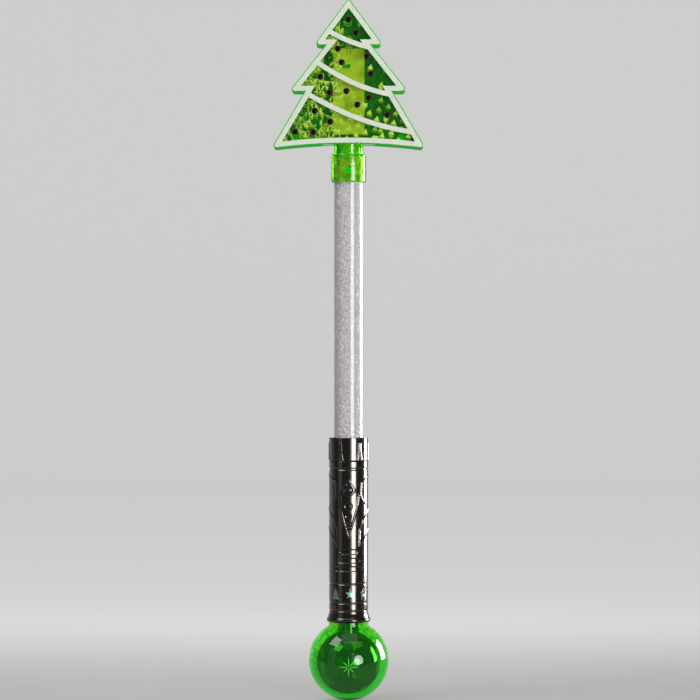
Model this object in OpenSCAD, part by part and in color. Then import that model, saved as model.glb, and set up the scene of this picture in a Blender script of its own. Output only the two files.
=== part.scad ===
// Light-up tree wand: a flat tree head on a glitter tube, a dark chrome handle and a clear green ball.
// The wand stands along Z with the front of the tree facing -Y. The origin is in the middle of the grip.

/* [Tree head] */
// Width of the tree across its bottom corners, before they are rounded
tree_w = 101; // [90:1:115]
// Height of the tree from its bottom corners to its tip, before they are rounded
tree_h = 98; // [88:1:110]
// Thickness of the tree from front to back
tree_t = 21; // [20:0.5:26]
// Wall of the two green shells
tree_wall = 1.6; // [1.2:0.1:2]
// Radius of the tree's corners
tree_corner_r = 2; // [1:0.1:3]
// Rise of the bottom edge at its middle
tree_foot_rise = 3.5; // [2:0.1:5]
// Width of the printed border and of the garlands
trim_w = 3.2; // [2:0.1:4]
// Plain edge outside the printed border
trim_edge = 0.7; // [0.4:0.1:1.2]
// Diameter of a printed bauble
bauble_d = 4.1; // [3:0.1:5]
// Thickness of the print
print_t = 0.15; // [0.1:0.01:0.3]
// Thickness of the prism film
prism_film_t = 0.3; // [0.2:0.05:0.5]

/* [Collar] */
// Diameter of the collar that grips the tube
collar_d = 23; // [22.5:0.1:25]
// Length of the collar
collar_len = 18.5; // [15:0.5:24]
// Chamfer of the collar's edges
collar_edge = 0.6; // [0.2:0.1:0.8]
// Height of the tree's bottom corners above the collar
neck_gap = 2.8; // [2:0.1:6]
// Diameter of the pegs that lock the tube
lock_peg_d = 4.1; // [3:0.1:5]
// Height of the locking pegs above the collar's lower edge
lock_peg_z = 7.4; // [5:0.1:9]

/* [Tube] */
// Outer diameter of the clear tube
tube_d = 19.5; // [18:0.1:20]
// Wall of the clear tube
tube_wall = 1; // [0.8:0.1:1.4]
// Length of tube that shows between handle and collar
tube_show = 166; // [120:1:220]
// Depth of the tube in the handle
tube_seat = 20; // [18:0.5:24]
// Thickness of the glitter film inside the tube
glitter_film_t = 0.25; // [0.15:0.05:0.4]

/* [Handle] */
// Diameter of the handle
handle_d = 25.5; // [25:0.1:28]
// Length of the handle
handle_len = 120; // [112:1:150]
// Wall of the handle
handle_wall = 1.6; // [1.4:0.1:2]
// Length of the petal ferrule at the top
ferrule_len = 15.2; // [14:0.1:17]
// Diameter of the bead round the bottom
bead_d = 28.8; // [28:0.1:32]
// Section radius of that bead
bead_r = 1.6; // [1.2:0.1:2]
// Depth of the grooves round the handle
groove_depth = 0.35; // [0.2:0.05:0.5]
// Width of the grooves round the handle
groove_w = 0.8; // [0.5:0.1:1.2]
// Height of the raised lines
line_h = 0.3; // [0.2:0.05:0.5]
// Width of the raised lines
line_w = 0.8; // [0.6:0.1:1.2]
// Depth of the three thumb rests
rest_depth = 0.5; // [0.3:0.05:0.7]
// Height of a thumb rest
rest_h = 3.2; // [2.5:0.1:4]
// Distance from one thumb rest to the next
rest_pitch = 5.5; // [5:0.1:7]
// Height of a foil motif
motif_h = 7; // [5:0.1:8]
// Thickness of the foil
foil_t = 0.12; // [0.1:0.01:0.2]

/* [Button] */
// Diameter of the push button
button_d = 5.4; // [4.5:0.1:6]
// Distance of the button below the handle's top
button_drop = 34; // [32:0.5:38]
// Height of the button above the handle
button_proud = 0.4; // [0.2:0.1:1]
// Travel of the button
button_travel = 0.8; // [0.4:0.1:1]

/* [Ball] */
// Diameter of the ball
ball_d = 52; // [46:1:60]
// Wall of the ball
ball_wall = 5.5; // [4:0.1:7]
// Diameter of the shoulder that meets the handle
shoulder_d = 26; // [25:0.1:28]
// Height of that shoulder above the ball
shoulder_h = 2.5; // [1.5:0.1:4]
// Diameter of the neck that the handle's floor holds
ball_neck_d = 18; // [17:0.1:18.5]
// Length of a ray of the star inside the ball
ray_len = 6.5; // [4:0.1:8]

/* [Electrics] */
// Diameter of a coin cell
cell_d = 11.6; // [9.5:0.1:11.6]
// Thickness of a coin cell
cell_h = 5.4; // [3.6:0.1:5.4]
// Number of coin cells
cell_count = 3; // [2:1:3]
// Thickness of the circuit boards
board_t = 1.2; // [0.8:0.1:1.6]
// Width of the board in the head
head_board_w = 20.5; // [18:0.5:26]
// Height of the board in the head
head_board_h = 56; // [50:1:60]
// Height of that board above the tree's bottom corners
head_board_z = 10.2; // [9:0.1:12]
// Width of the control board in the handle
control_w = 19.2; // [18.8:0.1:19.6]
// Length of the control board
control_len = 27; // [25:0.5:29]
// Diameter of a lamp
led_d = 5; // [4:0.1:5.4]
// Length of a lamp
led_len = 8.6; // [7:0.1:9]
// Diameter of a lead
lead_d = 1.2; // [0.8:0.1:1.4]

/* [Fits] */
// Radial clearance of a pin that moves in its hole
running_gap = 0.05; // [0.02:0.01:0.09]
// Clearance of pieces that slip together and stay
slip_gap = 0.1; // [0.05:0.01:0.15]
// Clearance of pieces that stay clear of each other
free_gap = 0.3; // [0.2:0.05:0.4]

/* [Hidden] */
$fn = 96;

// Overrun of every cut
cut = 1;

// Levels along the wand
handle_top = handle_len / 2;
handle_bot = -handle_len / 2;
tube_bot = handle_top - tube_seat;
collar_bot = handle_top + tube_show;
collar_top = collar_bot + collar_len;
tube_top = collar_top - tree_wall;
tree_foot = collar_top + neck_gap;
ferrule_bot = handle_top - ferrule_len;

// Size of a block that holds the whole wand on either side of a plane
reach = 2 * (handle_len + tube_show + collar_len + tree_h + ball_d);

// Radii about the wand's axis
tube_r = tube_d / 2;
tube_in_r = tube_r - tube_wall;
tube_bore_r = tube_r + slip_gap;
neck_bore_r = tube_r - tree_wall;
handle_r = handle_d / 2;
handle_in_r = handle_r - handle_wall;
spigot_r = (tube_bore_r + handle_r) / 2 - slip_gap / 2;
ledge_r = tube_in_r - glitter_film_t - free_gap;

// Shape of the tree: half-width and height of each corner and notch, from the bottom corner up
tree_hw = tree_w / 2;
tier_shares = [[1, 0], [0.568, 0.378], [0.772, 0.378], [0.303, 0.685], [0.453, 0.685]];
foot_steps = 12;
arc_steps = 5;
least_turn = 20;
inner_corner_r = 0.4;

// Garlands: start, pull and end of each curve, as shares of the half-width and the height
garland_shares = [
    [[-0.27, 0.785], [0.02, 0.698], [0.28, 0.672]],
    [[-0.42, 0.58], [0.065, 0.404], [0.55, 0.36]],
    [[-0.56, 0.375], [0.13, 0.161], [0.83, 0.112]]
];
garland_steps = 14;

// Baubles, as shares of the half-width and the height
bauble_shares = [
    [0, 0.855], [0.097, 0.768], [-0.138, 0.663], [0.236, 0.613], [-0.089, 0.574], [0.288, 0.498],
    [-0.362, 0.478], [-0.243, 0.373], [-0.028, 0.383], [0.26, 0.338], [0.113, 0.293], [0.498, 0.224],
    [-0.434, 0.252], [-0.234, 0.18], [-0.683, 0.113], [-0.45, 0.111]
];

// Pegs that join the two shells, and the post that holds the board
lower_peg_shares = [[-0.683, 0.088], [0.683, 0.088]];
upper_peg_gap = 6.8;
post_share = [0, 0.5525];
peg_boss_r = 2.2;
peg_r = 1.2;
peg_len = 4;
post_r = 2;
shelf_hw = 4.5;
film_edge = 0.3;

// Board levels in the head
head_board_bot = tree_foot + head_board_z;
head_board_top = head_board_bot + head_board_h;
upper_peg_z = head_board_top + led_len + upper_peg_gap + peg_boss_r;
peg_spots = concat([[0, 0, upper_peg_z]], [for (s = lower_peg_shares) on_tree(s)]);
head_lead_x = neck_bore_r - lead_d / 2 - 2 * free_gap;

// Lamps
led_r = led_d / 2;
led_rim_w = 0.4;
led_rim_h = 1;
led_leg_w = 0.5;
led_leg_len = 4;
led_leg_x = led_d / 4;

// Control board and the switch on it
control_top = tube_bot - handle_wall - free_gap - board_t;
control_bot = control_top - control_len;
button_z = handle_top - button_drop;
switch_w = 6;
switch_h = 3.5;
switch_face = board_t / 2 + switch_h;
plunger_r = 1.7;
plunger_depth = 1;
plunger_well = plunger_depth + button_travel + free_gap;
plunger_len = 3.1;
plunger_end = switch_face + plunger_len;
chip_w = 5;
chip_h = 1.5;
carrier_w = 4;
carrier_h = 4;
carrier_drop = 2;
carrier_x = control_w / 2 - board_t;

// Push button
button_r = button_d / 2;
button_flange_w = 1;
button_flange_r = button_r + button_flange_w;
button_flange_t = 1;
button_stem_r = 1.5;
button_dome_r = button_d;
button_rim_w = 1;
flange_face = sqrt(handle_in_r * handle_in_r - button_flange_r * button_flange_r) - free_gap;

// Screws and their bosses
screw_r = 0.95;
screw_head_r = 2;
screw_head_h = 1.4;
screw_depth = 5;
boss_r = 2.7;
boss_gap = 1;
slot_w = 0.6;
slot_depth = 0.7;
head_sink = 3;
screw_seat = handle_r - head_sink - screw_head_h;

// Battery box, from its top end down
cell_r = cell_d / 2;
cell_cap_h = 0.6;
box_wall = 1.2;
box_in_r = cell_r + 2 * slip_gap;
box_hw = box_in_r + box_wall;
contact_t = 0.4;
leaf_rise = 2;
cell_pitch = cell_h + running_gap;
stack_len = cell_count * cell_pitch;
box_top = control_bot - 2 * boss_r - 2 * boss_gap;
plate_bot = box_top - box_wall - contact_t;
stack_bot = plate_bot - stack_len;
leaf_bot = stack_bot - leaf_rise - contact_t;
box_bot = leaf_bot - box_wall;
cell_y = handle_in_r - box_wall - cell_r;
box_front_y = cell_y - box_in_r - box_wall;
box_rim_y = sqrt(handle_in_r * handle_in_r - box_hw * box_hw) - free_gap;
ear_len = 5.6;
ear_hw = 3;
ear_bot = box_bot - ear_len;
ear_mid = box_bot - ear_len / 2;
ear_top_y = box_rim_y;
rib_w = 1.5;
rib_x = box_hw / 2;
tab_hw = 0.9;
battery_lead_y = board_t / 2 + lead_d / 2;
plus_lead_x = 4;
minus_lead_x = box_hw + lead_d / 2 + slip_gap;
lead_lap = 1.5;
base_lead_x = control_w / 2 - lead_d / 2 - slip_gap;

// Battery door
door_hw = box_in_r + box_wall / 2;
door_gap = 0.2;
door_top = box_top + door_gap;
door_bot = ear_bot - door_gap;
door_pad_hw = 3;
door_screw_r = 0.85;
door_head_r = 1.9;
door_head_h = 0.9;
door_screw_depth = 6;
door_boss_r = 2.6;
door_seat = handle_r - door_head_h - slot_depth;

// Places of the two handle screws
upper_screw_z = (control_bot + box_top) / 2;
lower_screw_z = door_bot - boss_gap - boss_r;

// Handle floor, ball neck and ball
floor_t = 3.7;
ball_neck_r = ball_neck_d / 2;
flange_t = 2;
flange_r = ball_neck_r + handle_wall;
flange_bot = handle_bot + floor_t + slip_gap;
flange_top = flange_bot + flange_t;
ball_bore_r = led_r + led_rim_w + 3 * board_t;
ball_r = ball_d / 2;
ball_z = handle_bot - shoulder_h - sqrt(ball_r * ball_r - shoulder_d * shoulder_d / 4);
cavity_r = ball_r - ball_wall;
cavity_drop_share = 0.24;
cavity_z = ball_z - cavity_drop_share * ball_wall;
ray_count = 8;
ray_w = 0.6;
ray_h = 0.5;
ray_hub = 0.7;
star_drop = 1.3;
base_board_r = base_lead_x + lead_d / 2 + slip_gap;
base_board_top = flange_top + board_t;

// Ornament on the handle: the ring below the ferrule, then heights above the handle's bottom
ring_h = 5;
ring_drop = ferrule_len + ring_h;
ring_groove_w = 1.4;
band_low = 12.7;
band_high = 25;
foot_ring = 7.8;
flare_h = 6;
motif_z = handle_bot + (band_low + band_high) / 2;
motif_turn = 4.3;
motif_pitch = 45;
rest_rise = 46;
rest_first = handle_bot + rest_rise;
rest_angles = [26.4, 35.3, 44.4];

// Ogee field: raised lines given as an angle from the front and a share of the field's height
ogee_rise = 49;
ogee_low = handle_bot + ogee_rise;
ogee_len = 48;
ogee_inner_shares = [[0, 0.91], [31, 0.694], [27, 0.562], [19, 0.431], [12, 0.312], [0, 0.125]];
ogee_outer_shares = [
    [[100, 0.98], [63, 0.94], [42, 0.877], [39, 0.765], [39, 0.694], [43, 0.648], [58, 0.592], [100, 0.51]],
    [[100, 0.56], [62, 0.437], [47, 0.375], [44, 0.32], [34, 0.235], [32, 0.06], [33, 0.01]],
    [[100, 0.3], [63, 0.177], [42, 0.073], [33, 0.01]]
];
ogee_side_turn = 60;

// Dimples and bars below the button: drop below the button, then size
dimple_drops = [10.4, 16.9];
dimple_ds = [5, 3.9];
bar_drops = [21, 23.6, 25.6];
bar_ws = [4.6, 4, 3];
bar_h = 0.8;
dimple_depth = 0.3;

// Petal lines on the ferrule
petal_count = 6;
petal_turn = 35;
petal_low = ferrule_bot + groove_w / 2;
petal_bend_h = 6.1;
petal_h = 11.9;
petal_bend = ferrule_bot + petal_bend_h;
petal_high = ferrule_bot + petal_h;
petal_gap_top = 0.65;
petal_gap_low = 1.7;

// Foil motifs, drawn as shares of their height
tree_motif_shares = [[0.42, 0], [0.2, 0.34], [0.32, 0.34], [0.13, 0.64], [0.22, 0.64]];
deer_motif_shares = [
    [-0.3, 0], [-0.2, 0], [-0.17, 0.26], [0.17, 0.26], [0.2, 0], [0.3, 0], [0.31, 0.4], [0.36, 0.5],
    [0.28, 0.5], [-0.1, 0.5], [-0.16, 0.66], [-0.04, 0.72], [0.02, 0.98], [-0.07, 0.84], [-0.12, 1],
    [-0.17, 0.76], [-0.42, 0.64], [-0.4, 0.56], [-0.28, 0.56], [-0.31, 0.36]
];
star_points = 5;
star_inner_share = 0.42;

// Drawing in X and Z, taken from one Y plane to another
module slab(y_low, y_high)
    translate([0, y_high, 0])
        rotate([90, 0, 0])
            linear_extrude(y_high - y_low)
                children();

// Round bar along Y
module rod_y(r, y_low, y_high)
    translate([0, y_low, 0])
        rotate([-90, 0, 0])
            cylinder(r = r, h = y_high - y_low);

// Ring about the wand's axis
module ring(r_in, r_out, low, high)
    rotate_extrude()
        translate([r_in, low])
            square([r_out - r_in, high - low]);

// Front half or back half of a round form
module front_half()
    intersection() {
        children();
        translate([-reach / 2, -reach, -reach / 2])
            cube(reach);
    }

module back_half()
    intersection() {
        children();
        translate([-reach / 2, 0, -reach / 2])
            cube(reach);
    }

// Strip of even width along a list of points
function unit(v) = v / norm(v);
function left_of(v) = [-v.y, v.x];
function step_of(points, i) = unit(points[i + 1] - points[i]);
function bend_at(points, i) =
    let (last = len(points) - 1)
    let (a = step_of(points, max(i - 1, 0)))
    let (b = step_of(points, min(i, last - 1)))
    (left_of(a) + left_of(b)) / (1 + left_of(a) * left_of(b));
function strip(points, w) = concat(
    [for (i = [0 : len(points) - 1]) points[i] - w / 2 * bend_at(points, i)],
    [for (i = [len(points) - 1 : -1 : 0]) points[i] + w / 2 * bend_at(points, i)]
);

// Tree outline, set in by a distance, with its outer corners rounded
function right_side() = [for (s = tier_shares) [s.x * tree_hw, s.y * tree_h]];
function flipped(points) = [for (i = [len(points) - 1 : -1 : 0]) [-points[i].x, points[i].y]];
function foot_edge() = [
    for (i = [1 : foot_steps - 1])
    let (u = 2 * i / foot_steps - 1)
    [u * tree_hw, tree_foot_rise * (1 - u * u)]
];
function sharp_tree() = concat(right_side(), [[0, tree_h]], flipped(right_side()), foot_edge());
function before(points, i) = unit(points[i] - points[(i + len(points) - 1) % len(points)]);
function after(points, i) = unit(points[(i + 1) % len(points)] - points[i]);
function inset(points, d) = [
    for (i = [0 : len(points) - 1])
    let (a = left_of(before(points, i)))
    let (b = left_of(after(points, i)))
    points[i] + d * (a + b) / (1 + a * b)
];
function corner_arc(p, a, turn, r) =
    let (centre = p - r * tan(turn / 2) * a + r * left_of(a))
    let (start = atan2(-left_of(a).y, -left_of(a).x))
    [
        for (k = [0 : arc_steps])
        let (swept = start + turn * k / arc_steps)
        centre + r * [cos(swept), sin(swept)]
    ];
function rounded(points, r) = [
    for (i = [0 : len(points) - 1])
    let (a = before(points, i))
    let (b = after(points, i))
    let (turn = atan2(cross(a, b), a * b))
    each turn > least_turn ? corner_arc(points[i], a, turn, r) : [points[i]]
];
function tree_outline(d) = rounded(inset(sharp_tree(), d), max(tree_corner_r - d, inner_corner_r));

module tree_face(d)
    translate([0, tree_foot])
        polygon(tree_outline(d));

// Place of a share pair on the tree
function on_tree(s) = [s.x * tree_hw, 0, tree_foot + s.y * tree_h];

// One tree shell with its half of the neck and the collar, drawn at the front
module tree_form() {
    back_y = -tree_t / 2 + tree_wall;
    difference() {
        union() {
            difference() {
                slab(-tree_t / 2, 0)
                    tree_face(0);
                slab(back_y, cut)
                    tree_face(tree_wall);
            }
            front_half() {
                cylinder_between(tube_r, collar_top - collar_edge, tree_foot + tree_foot_rise + tree_wall);
                collar_form();
            }
        }
        cylinder_between(neck_bore_r, collar_bot, tree_foot + tree_foot_rise + tree_wall + cut);
        cylinder_between(tube_bore_r, collar_bot - cut, tube_top);
    }
    translate([0, 0, collar_bot + lock_peg_z])
        rod_y(lock_peg_d / 2, -tube_bore_r - (collar_d / 2 - tube_bore_r) / 2, -tube_in_r);
    translate(on_tree(post_share))
        rod_y(post_r, back_y - tree_wall / 2, -board_t / 2);
    translate([-shelf_hw, back_y - tree_wall / 2, head_board_bot - tree_wall])
        cube([2 * shelf_hw, -back_y + tree_wall / 2, tree_wall]);
}

module cylinder_between(r, low, high)
    translate([0, 0, low])
        cylinder(r = r, h = high - low);

module collar_form()
    rotate_extrude()
        polygon([
            [0, collar_bot], [collar_d / 2 - collar_edge, collar_bot],
            [collar_d / 2, collar_bot + collar_edge], [collar_d / 2, collar_top - collar_edge],
            [collar_d / 2 - collar_edge, collar_top], [0, collar_top]
        ]);

module tree_front_shell()
    color([0.1, 0.75, 0.2, 0.6]) {
        tree_form();
        for (spot = peg_spots)
            translate(spot) {
                rod_y(peg_boss_r, -tree_t / 2 + tree_wall / 2, 0);
                rod_y(peg_r, -peg_len, peg_len);
            }
    }

module tree_back_shell()
    color([0.1, 0.75, 0.2, 0.6])
        difference() {
            union() {
                mirror([0, 1, 0])
                    tree_form();
                for (spot = peg_spots)
                    translate(spot)
                        rod_y(peg_boss_r, 0, tree_t / 2 - tree_wall / 2);
            }
            for (spot = peg_spots)
                translate(spot)
                    rod_y(peg_r + slip_gap, -cut, peg_len + free_gap);
        }

// Film behind a face, drawn at the front, with holes for the bosses and a notch for the shelf
module film_form() {
    face_y = -tree_t / 2 + tree_wall;
    difference() {
        slab(face_y, face_y + prism_film_t)
            tree_face(tree_wall + film_edge);
        for (spot = peg_spots)
            translate(spot)
                rod_y(peg_boss_r + slip_gap, face_y - cut, face_y + prism_film_t + cut);
        translate(on_tree(post_share))
            rod_y(post_r + slip_gap, face_y - cut, face_y + prism_film_t + cut);
        translate([-shelf_hw - slip_gap, face_y - cut, head_board_bot - tree_wall - slip_gap])
            cube([2 * shelf_hw + 2 * slip_gap, prism_film_t + 2 * cut, tree_wall + 2 * slip_gap]);
    }
}

module front_prism_film()
    color([0.45, 0.7, 0.2])
        film_form();

module back_prism_film()
    color([0.45, 0.7, 0.2])
        mirror([0, 1, 0])
            film_form();

// Print: border and garlands, then baubles
function pull_curve(s, t) = (1 - t) * (1 - t) * s[0] + 2 * t * (1 - t) * s[1] + t * t * s[2];
function garland(s) = [
    for (k = [0 : garland_steps])
    let (p = pull_curve(s, k / garland_steps))
    [p.x * tree_hw, p.y * tree_h]
];

module trim_face()
    intersection() {
        tree_face(trim_edge);
        union() {
            difference() {
                tree_face(0);
                tree_face(trim_edge + trim_w);
            }
            for (s = garland_shares)
                translate([0, tree_foot])
                    polygon(strip(garland(s), trim_w));
        }
    }

module bauble_face()
    for (s = bauble_shares)
        translate([s.x * tree_hw, tree_foot + s.y * tree_h])
            circle(d = bauble_d);

module front_trim()
    color("whitesmoke")
        slab(-tree_t / 2 - print_t, -tree_t / 2)
            trim_face();

module back_trim()
    color("whitesmoke")
        slab(tree_t / 2, tree_t / 2 + print_t)
            mirror([1, 0])
                trim_face();

module front_baubles()
    color([0.1, 0.04, 0.06])
        slab(-tree_t / 2 - print_t, -tree_t / 2)
            bauble_face();

module back_baubles()
    color([0.1, 0.04, 0.06])
        slab(tree_t / 2, tree_t / 2 + print_t)
            mirror([1, 0])
                bauble_face();

// Lamp with its base at the origin, pointing up
module lamp() {
    cylinder_between(led_r + led_rim_w, 0, led_rim_h);
    cylinder_between(led_r, 0, led_len - led_r);
    translate([0, 0, led_len - led_r])
        sphere(r = led_r);
}

// Lamp that stands on a board's top edge, with its legs on the board's front
module board_lamp(z)
    translate([0, 0, z]) {
        lamp();
        for (x = [-led_leg_x, led_leg_x])
            translate([x - led_leg_w / 2, -board_t / 2 - led_leg_w, -led_leg_len])
                cube([led_leg_w, led_leg_w, led_leg_len + led_rim_h / 2]);
    }

module head_board()
    color("white")
        slab(-board_t / 2, board_t / 2)
            translate([-head_board_w / 2, head_board_bot])
                square([head_board_w, head_board_h]);

module head_led()
    color("honeydew")
        board_lamp(head_board_top);

module clear_tube()
    color([0.9, 0.9, 0.92, 0.5])
        difference() {
            ring(tube_in_r, tube_r, tube_bot, tube_top);
            translate([0, 0, collar_bot + lock_peg_z])
                rod_y(lock_peg_d / 2 + slip_gap, -tube_r - cut, tube_r + cut);
        }

module glitter_film()
    color("lightgray")
        ring(tube_in_r - glitter_film_t, tube_in_r, tube_bot, collar_bot + lock_peg_z - lock_peg_d);

// Straight lead along Z
module lead(x, y, low, high)
    translate([x, y, 0])
        cylinder_between(lead_d / 2, low, high);

module head_lead_red()
    color("firebrick")
        lead(head_lead_x, 0, control_top, head_board_bot);

module head_lead_black()
    color("dimgray")
        lead(-head_lead_x, 0, control_top, head_board_bot);

// Handle: raised lines, drawn at a turn from the front so that they stay square to the surface
module raised(turn, low, high)
    intersection() {
        ring(handle_r - line_h, handle_r + line_h, low, high);
        rotate([0, 0, turn])
            slab(-reach, 0)
                children();
    }

function wrapped(points, turn) = [
    for (p = points) [handle_r * sin(p[0] - turn), ogee_low + p[1] * ogee_len]
];

module ogee_lines() {
    high = ferrule_bot;
    for (side = [0, 1])
        mirror([side, 0, 0]) {
            raised(0, handle_bot, high)
                polygon(strip(wrapped(ogee_inner_shares, 0), line_w));
            for (line = ogee_outer_shares)
                raised(ogee_side_turn, handle_bot, high)
                    polygon(strip(wrapped(line, ogee_side_turn), line_w));
        }
}

// Full round handle below the ferrule, with its grooves and its bore
module handle_round() {
    difference() {
        union() {
            rotate_extrude()
                polygon([
                    [0, handle_bot], [bead_d / 2 - bead_r, handle_bot],
                    [bead_d / 2 - bead_r / 2, handle_bot + 2 * bead_r], [handle_r, handle_bot + flare_h],
                    [handle_r, ferrule_bot], [spigot_r, ferrule_bot],
                    [spigot_r, handle_top - ferrule_len / 3], [0, handle_top - ferrule_len / 3]
                ]);
            translate([0, 0, handle_bot + bead_r])
                rotate_extrude()
                    translate([bead_d / 2 - bead_r, 0])
                        circle(r = bead_r);
        }
        groove(handle_top - ring_drop, ring_groove_w);
        for (z = [band_low, band_high, foot_ring])
            groove(handle_bot + z, groove_w);
        cylinder_between(tube_bore_r, tube_bot, handle_top);
        cylinder_between(ledge_r, tube_bot - handle_wall - cut, handle_top);
        cylinder_between(handle_in_r, handle_bot + floor_t, tube_bot - handle_wall);
        cylinder_between(ball_neck_r + slip_gap, handle_bot - cut, handle_bot + floor_t + cut);
    }
}

module groove(z, w)
    ring(handle_r - groove_depth, handle_r + bead_d, z - w / 2, z + w / 2);

// Recess in the handle's front, cut to an even depth
module recess(depth, low, high)
    intersection() {
        ring(handle_r - depth, handle_r + cut, low, high);
        slab(-reach, 0)
            children();
    }

module thumb_rest(half_w)
    square([2 * half_w - rest_h, rest_h], center = true);

module thumb_rests()
    for (i = [0 : len(rest_angles) - 1]) {
        z = rest_first - i * rest_pitch;
        half_w = handle_r * sin(rest_angles[i]);
        recess(rest_depth, z - rest_h, z + rest_h)
            translate([0, z]) {
                thumb_rest(half_w);
                for (x = [-half_w + rest_h / 2, half_w - rest_h / 2])
                    translate([x, 0])
                        circle(d = rest_h);
            }
    }

module dimples() {
    for (i = [0 : len(dimple_drops) - 1]) {
        z = button_z - dimple_drops[i];
        recess(dimple_depth, z - dimple_ds[i], z + dimple_ds[i])
            translate([0, z])
                circle(d = dimple_ds[i]);
    }
    for (i = [0 : len(bar_drops) - 1]) {
        z = button_z - bar_drops[i];
        recess(dimple_depth, z - bar_h, z + bar_h)
            translate([0, z])
                square([bar_ws[i], bar_h], center = true);
    }
}

// Blocks that hold the control board's edges, drawn at the front
module board_carriers()
    intersection() {
        cylinder_between(handle_in_r + handle_wall / 2, control_bot, control_top);
        for (side = [0, 1], z = [control_bot + carrier_drop, control_top - carrier_drop - carrier_h])
            mirror([side, 0, 0])
                translate([carrier_x, -board_t / 2 - carrier_w, z])
                    cube([handle_r, carrier_w, carrier_h]);
    }

// Boss from the handle's wall to the seam, drawn at the front
module screw_boss(z)
    translate([0, 0, z])
        rod_y(boss_r, -handle_in_r - handle_wall / 2, 0);

module handle_front()
    color([0.16, 0.16, 0.17])
        difference() {
            union() {
                front_half() {
                    handle_round();
                    ogee_lines();
                }
                intersection() {
                    ring(handle_in_r, handle_r + line_h, button_z - handle_d, button_z + handle_d);
                    translate([0, 0, button_z])
                        rod_y(button_r + running_gap + button_rim_w, -handle_d, 0);
                }
                board_carriers();
                screw_boss(upper_screw_z);
                screw_boss(lower_screw_z);
                intersection() {
                    cylinder_between(handle_in_r + handle_wall / 2, box_bot, box_top);
                    for (x = [-rib_x, rib_x])
                        translate([x - rib_w / 2, -handle_r, box_bot])
                            cube([rib_w, handle_r + box_front_y, box_top - box_bot]);
                }
            }
            translate([0, 0, button_z])
                rod_y(button_r + running_gap, -handle_d, -handle_in_r + handle_wall);
            for (z = [upper_screw_z, lower_screw_z])
                translate([0, 0, z])
                    rod_y(screw_r + running_gap, -screw_depth - free_gap, cut);
            thumb_rests();
            dimples();
        }

// Opening for the battery door, wider than the door by a gap
module door_block(gap)
    translate([-door_hw - gap, 0, door_bot - gap])
        cube([2 * (door_hw + gap), handle_d, door_top - door_bot + 2 * gap]);

module handle_back()
    color([0.16, 0.16, 0.17])
        difference() {
            union() {
                back_half() {
                    handle_round();
                    mirror([0, 1, 0])
                        ogee_lines();
                }
                mirror([0, 1, 0]) {
                    board_carriers();
                    screw_boss(upper_screw_z);
                    screw_boss(lower_screw_z);
                }
            }
            intersection() {
                door_block(door_gap);
                ring(box_rim_y / 2, handle_d, door_bot - cut, door_top + cut);
            }
            for (z = [upper_screw_z, lower_screw_z])
                translate([0, 0, z]) {
                    rod_y(screw_r + slip_gap, -cut, handle_d);
                    rod_y(screw_head_r + slip_gap, screw_seat, handle_d);
                }
        }

// Petal ferrule: holds the two halves together round the tube
module petal_line(side)
    polygon(strip([
        [side * petal_gap_low, petal_low],
        [side * petal_gap_top, petal_bend],
        [side * petal_gap_top, petal_high]
    ], line_w));

module petal_ferrule()
    color([0.2, 0.2, 0.21])
        difference() {
            union() {
                cylinder_between(handle_r, ferrule_bot, handle_top);
                for (i = [0 : petal_count - 1], side = [-1, 1])
                    raised(petal_turn + i * 360 / petal_count, ferrule_bot, handle_top)
                        petal_line(side);
            }
            groove(ferrule_bot, groove_w);
            cylinder_between(tube_bore_r, ferrule_bot - cut, handle_top + cut);
            cylinder_between(spigot_r + slip_gap, ferrule_bot - cut, handle_top - ferrule_len / 3 + slip_gap);
        }

// Foil motifs round the band, clear of the seam between the halves
module star_motif()
    translate([0, motif_h / 2])
        polygon([
            for (i = [0 : 2 * star_points - 1])
            let (r = motif_h / 2 * (i % 2 == 0 ? 1 : star_inner_share))
            let (turn = i * 180 / star_points)
            [r * sin(turn), r * cos(turn)]
        ]);

module tree_motif() {
    side = [for (s = tree_motif_shares) motif_h * s];
    polygon(concat(side, [[0, motif_h]], flipped(side)));
}

module deer_motif()
    polygon([for (s = deer_motif_shares) motif_h * s]);

module motif(kind)
    translate([0, motif_z - motif_h / 2]) {
        if (kind == 0)
            tree_motif();
        if (kind == 1)
            star_motif();
        if (kind == 2)
            deer_motif();
    }

module foil_motifs()
    color("palegreen")
        for (half = [0, 180], kind = [0 : 2])
            intersection() {
                ring(handle_r, handle_r + foil_t, motif_z - motif_h, motif_z + motif_h);
                rotate([0, 0, half + motif_turn + (kind - 1) * motif_pitch])
                    slab(-reach, 0)
                        motif(kind);
            }

// Button, switch and control board
module push_button()
    color([0.08, 0.08, 0.09])
        translate([0, 0, button_z]) {
            intersection() {
                rod_y(button_r, -handle_r - button_proud, -flange_face);
                translate([0, -handle_r - button_proud + button_dome_r, 0])
                    sphere(r = button_dome_r);
            }
            rod_y(button_flange_r, -flange_face, -flange_face + button_flange_t);
            rod_y(button_stem_r, -flange_face, -plunger_end);
        }

module switch_body()
    color([0.12, 0.12, 0.13])
        translate([0, 0, button_z])
            difference() {
                translate([-switch_w / 2, -switch_face, -switch_w / 2])
                    cube([switch_w, switch_h, switch_w]);
                rod_y(plunger_r + running_gap, -switch_face - cut, plunger_well - switch_face);
            }

module switch_plunger()
    color("ivory")
        translate([0, 0, button_z])
            rod_y(plunger_r, -plunger_end, -switch_face + plunger_depth);

module control_board()
    color("darkgreen")
        slab(-board_t / 2, board_t / 2)
            translate([-control_w / 2, control_bot])
                square([control_w, control_len]);

module driver_chip()
    color([0.07, 0.07, 0.08])
        translate([-chip_w / 2, -board_t / 2 - chip_h, control_bot + carrier_drop])
            cube([chip_w, chip_h, chip_w]);

module tube_led()
    color("honeydew")
        board_lamp(control_top);

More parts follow.
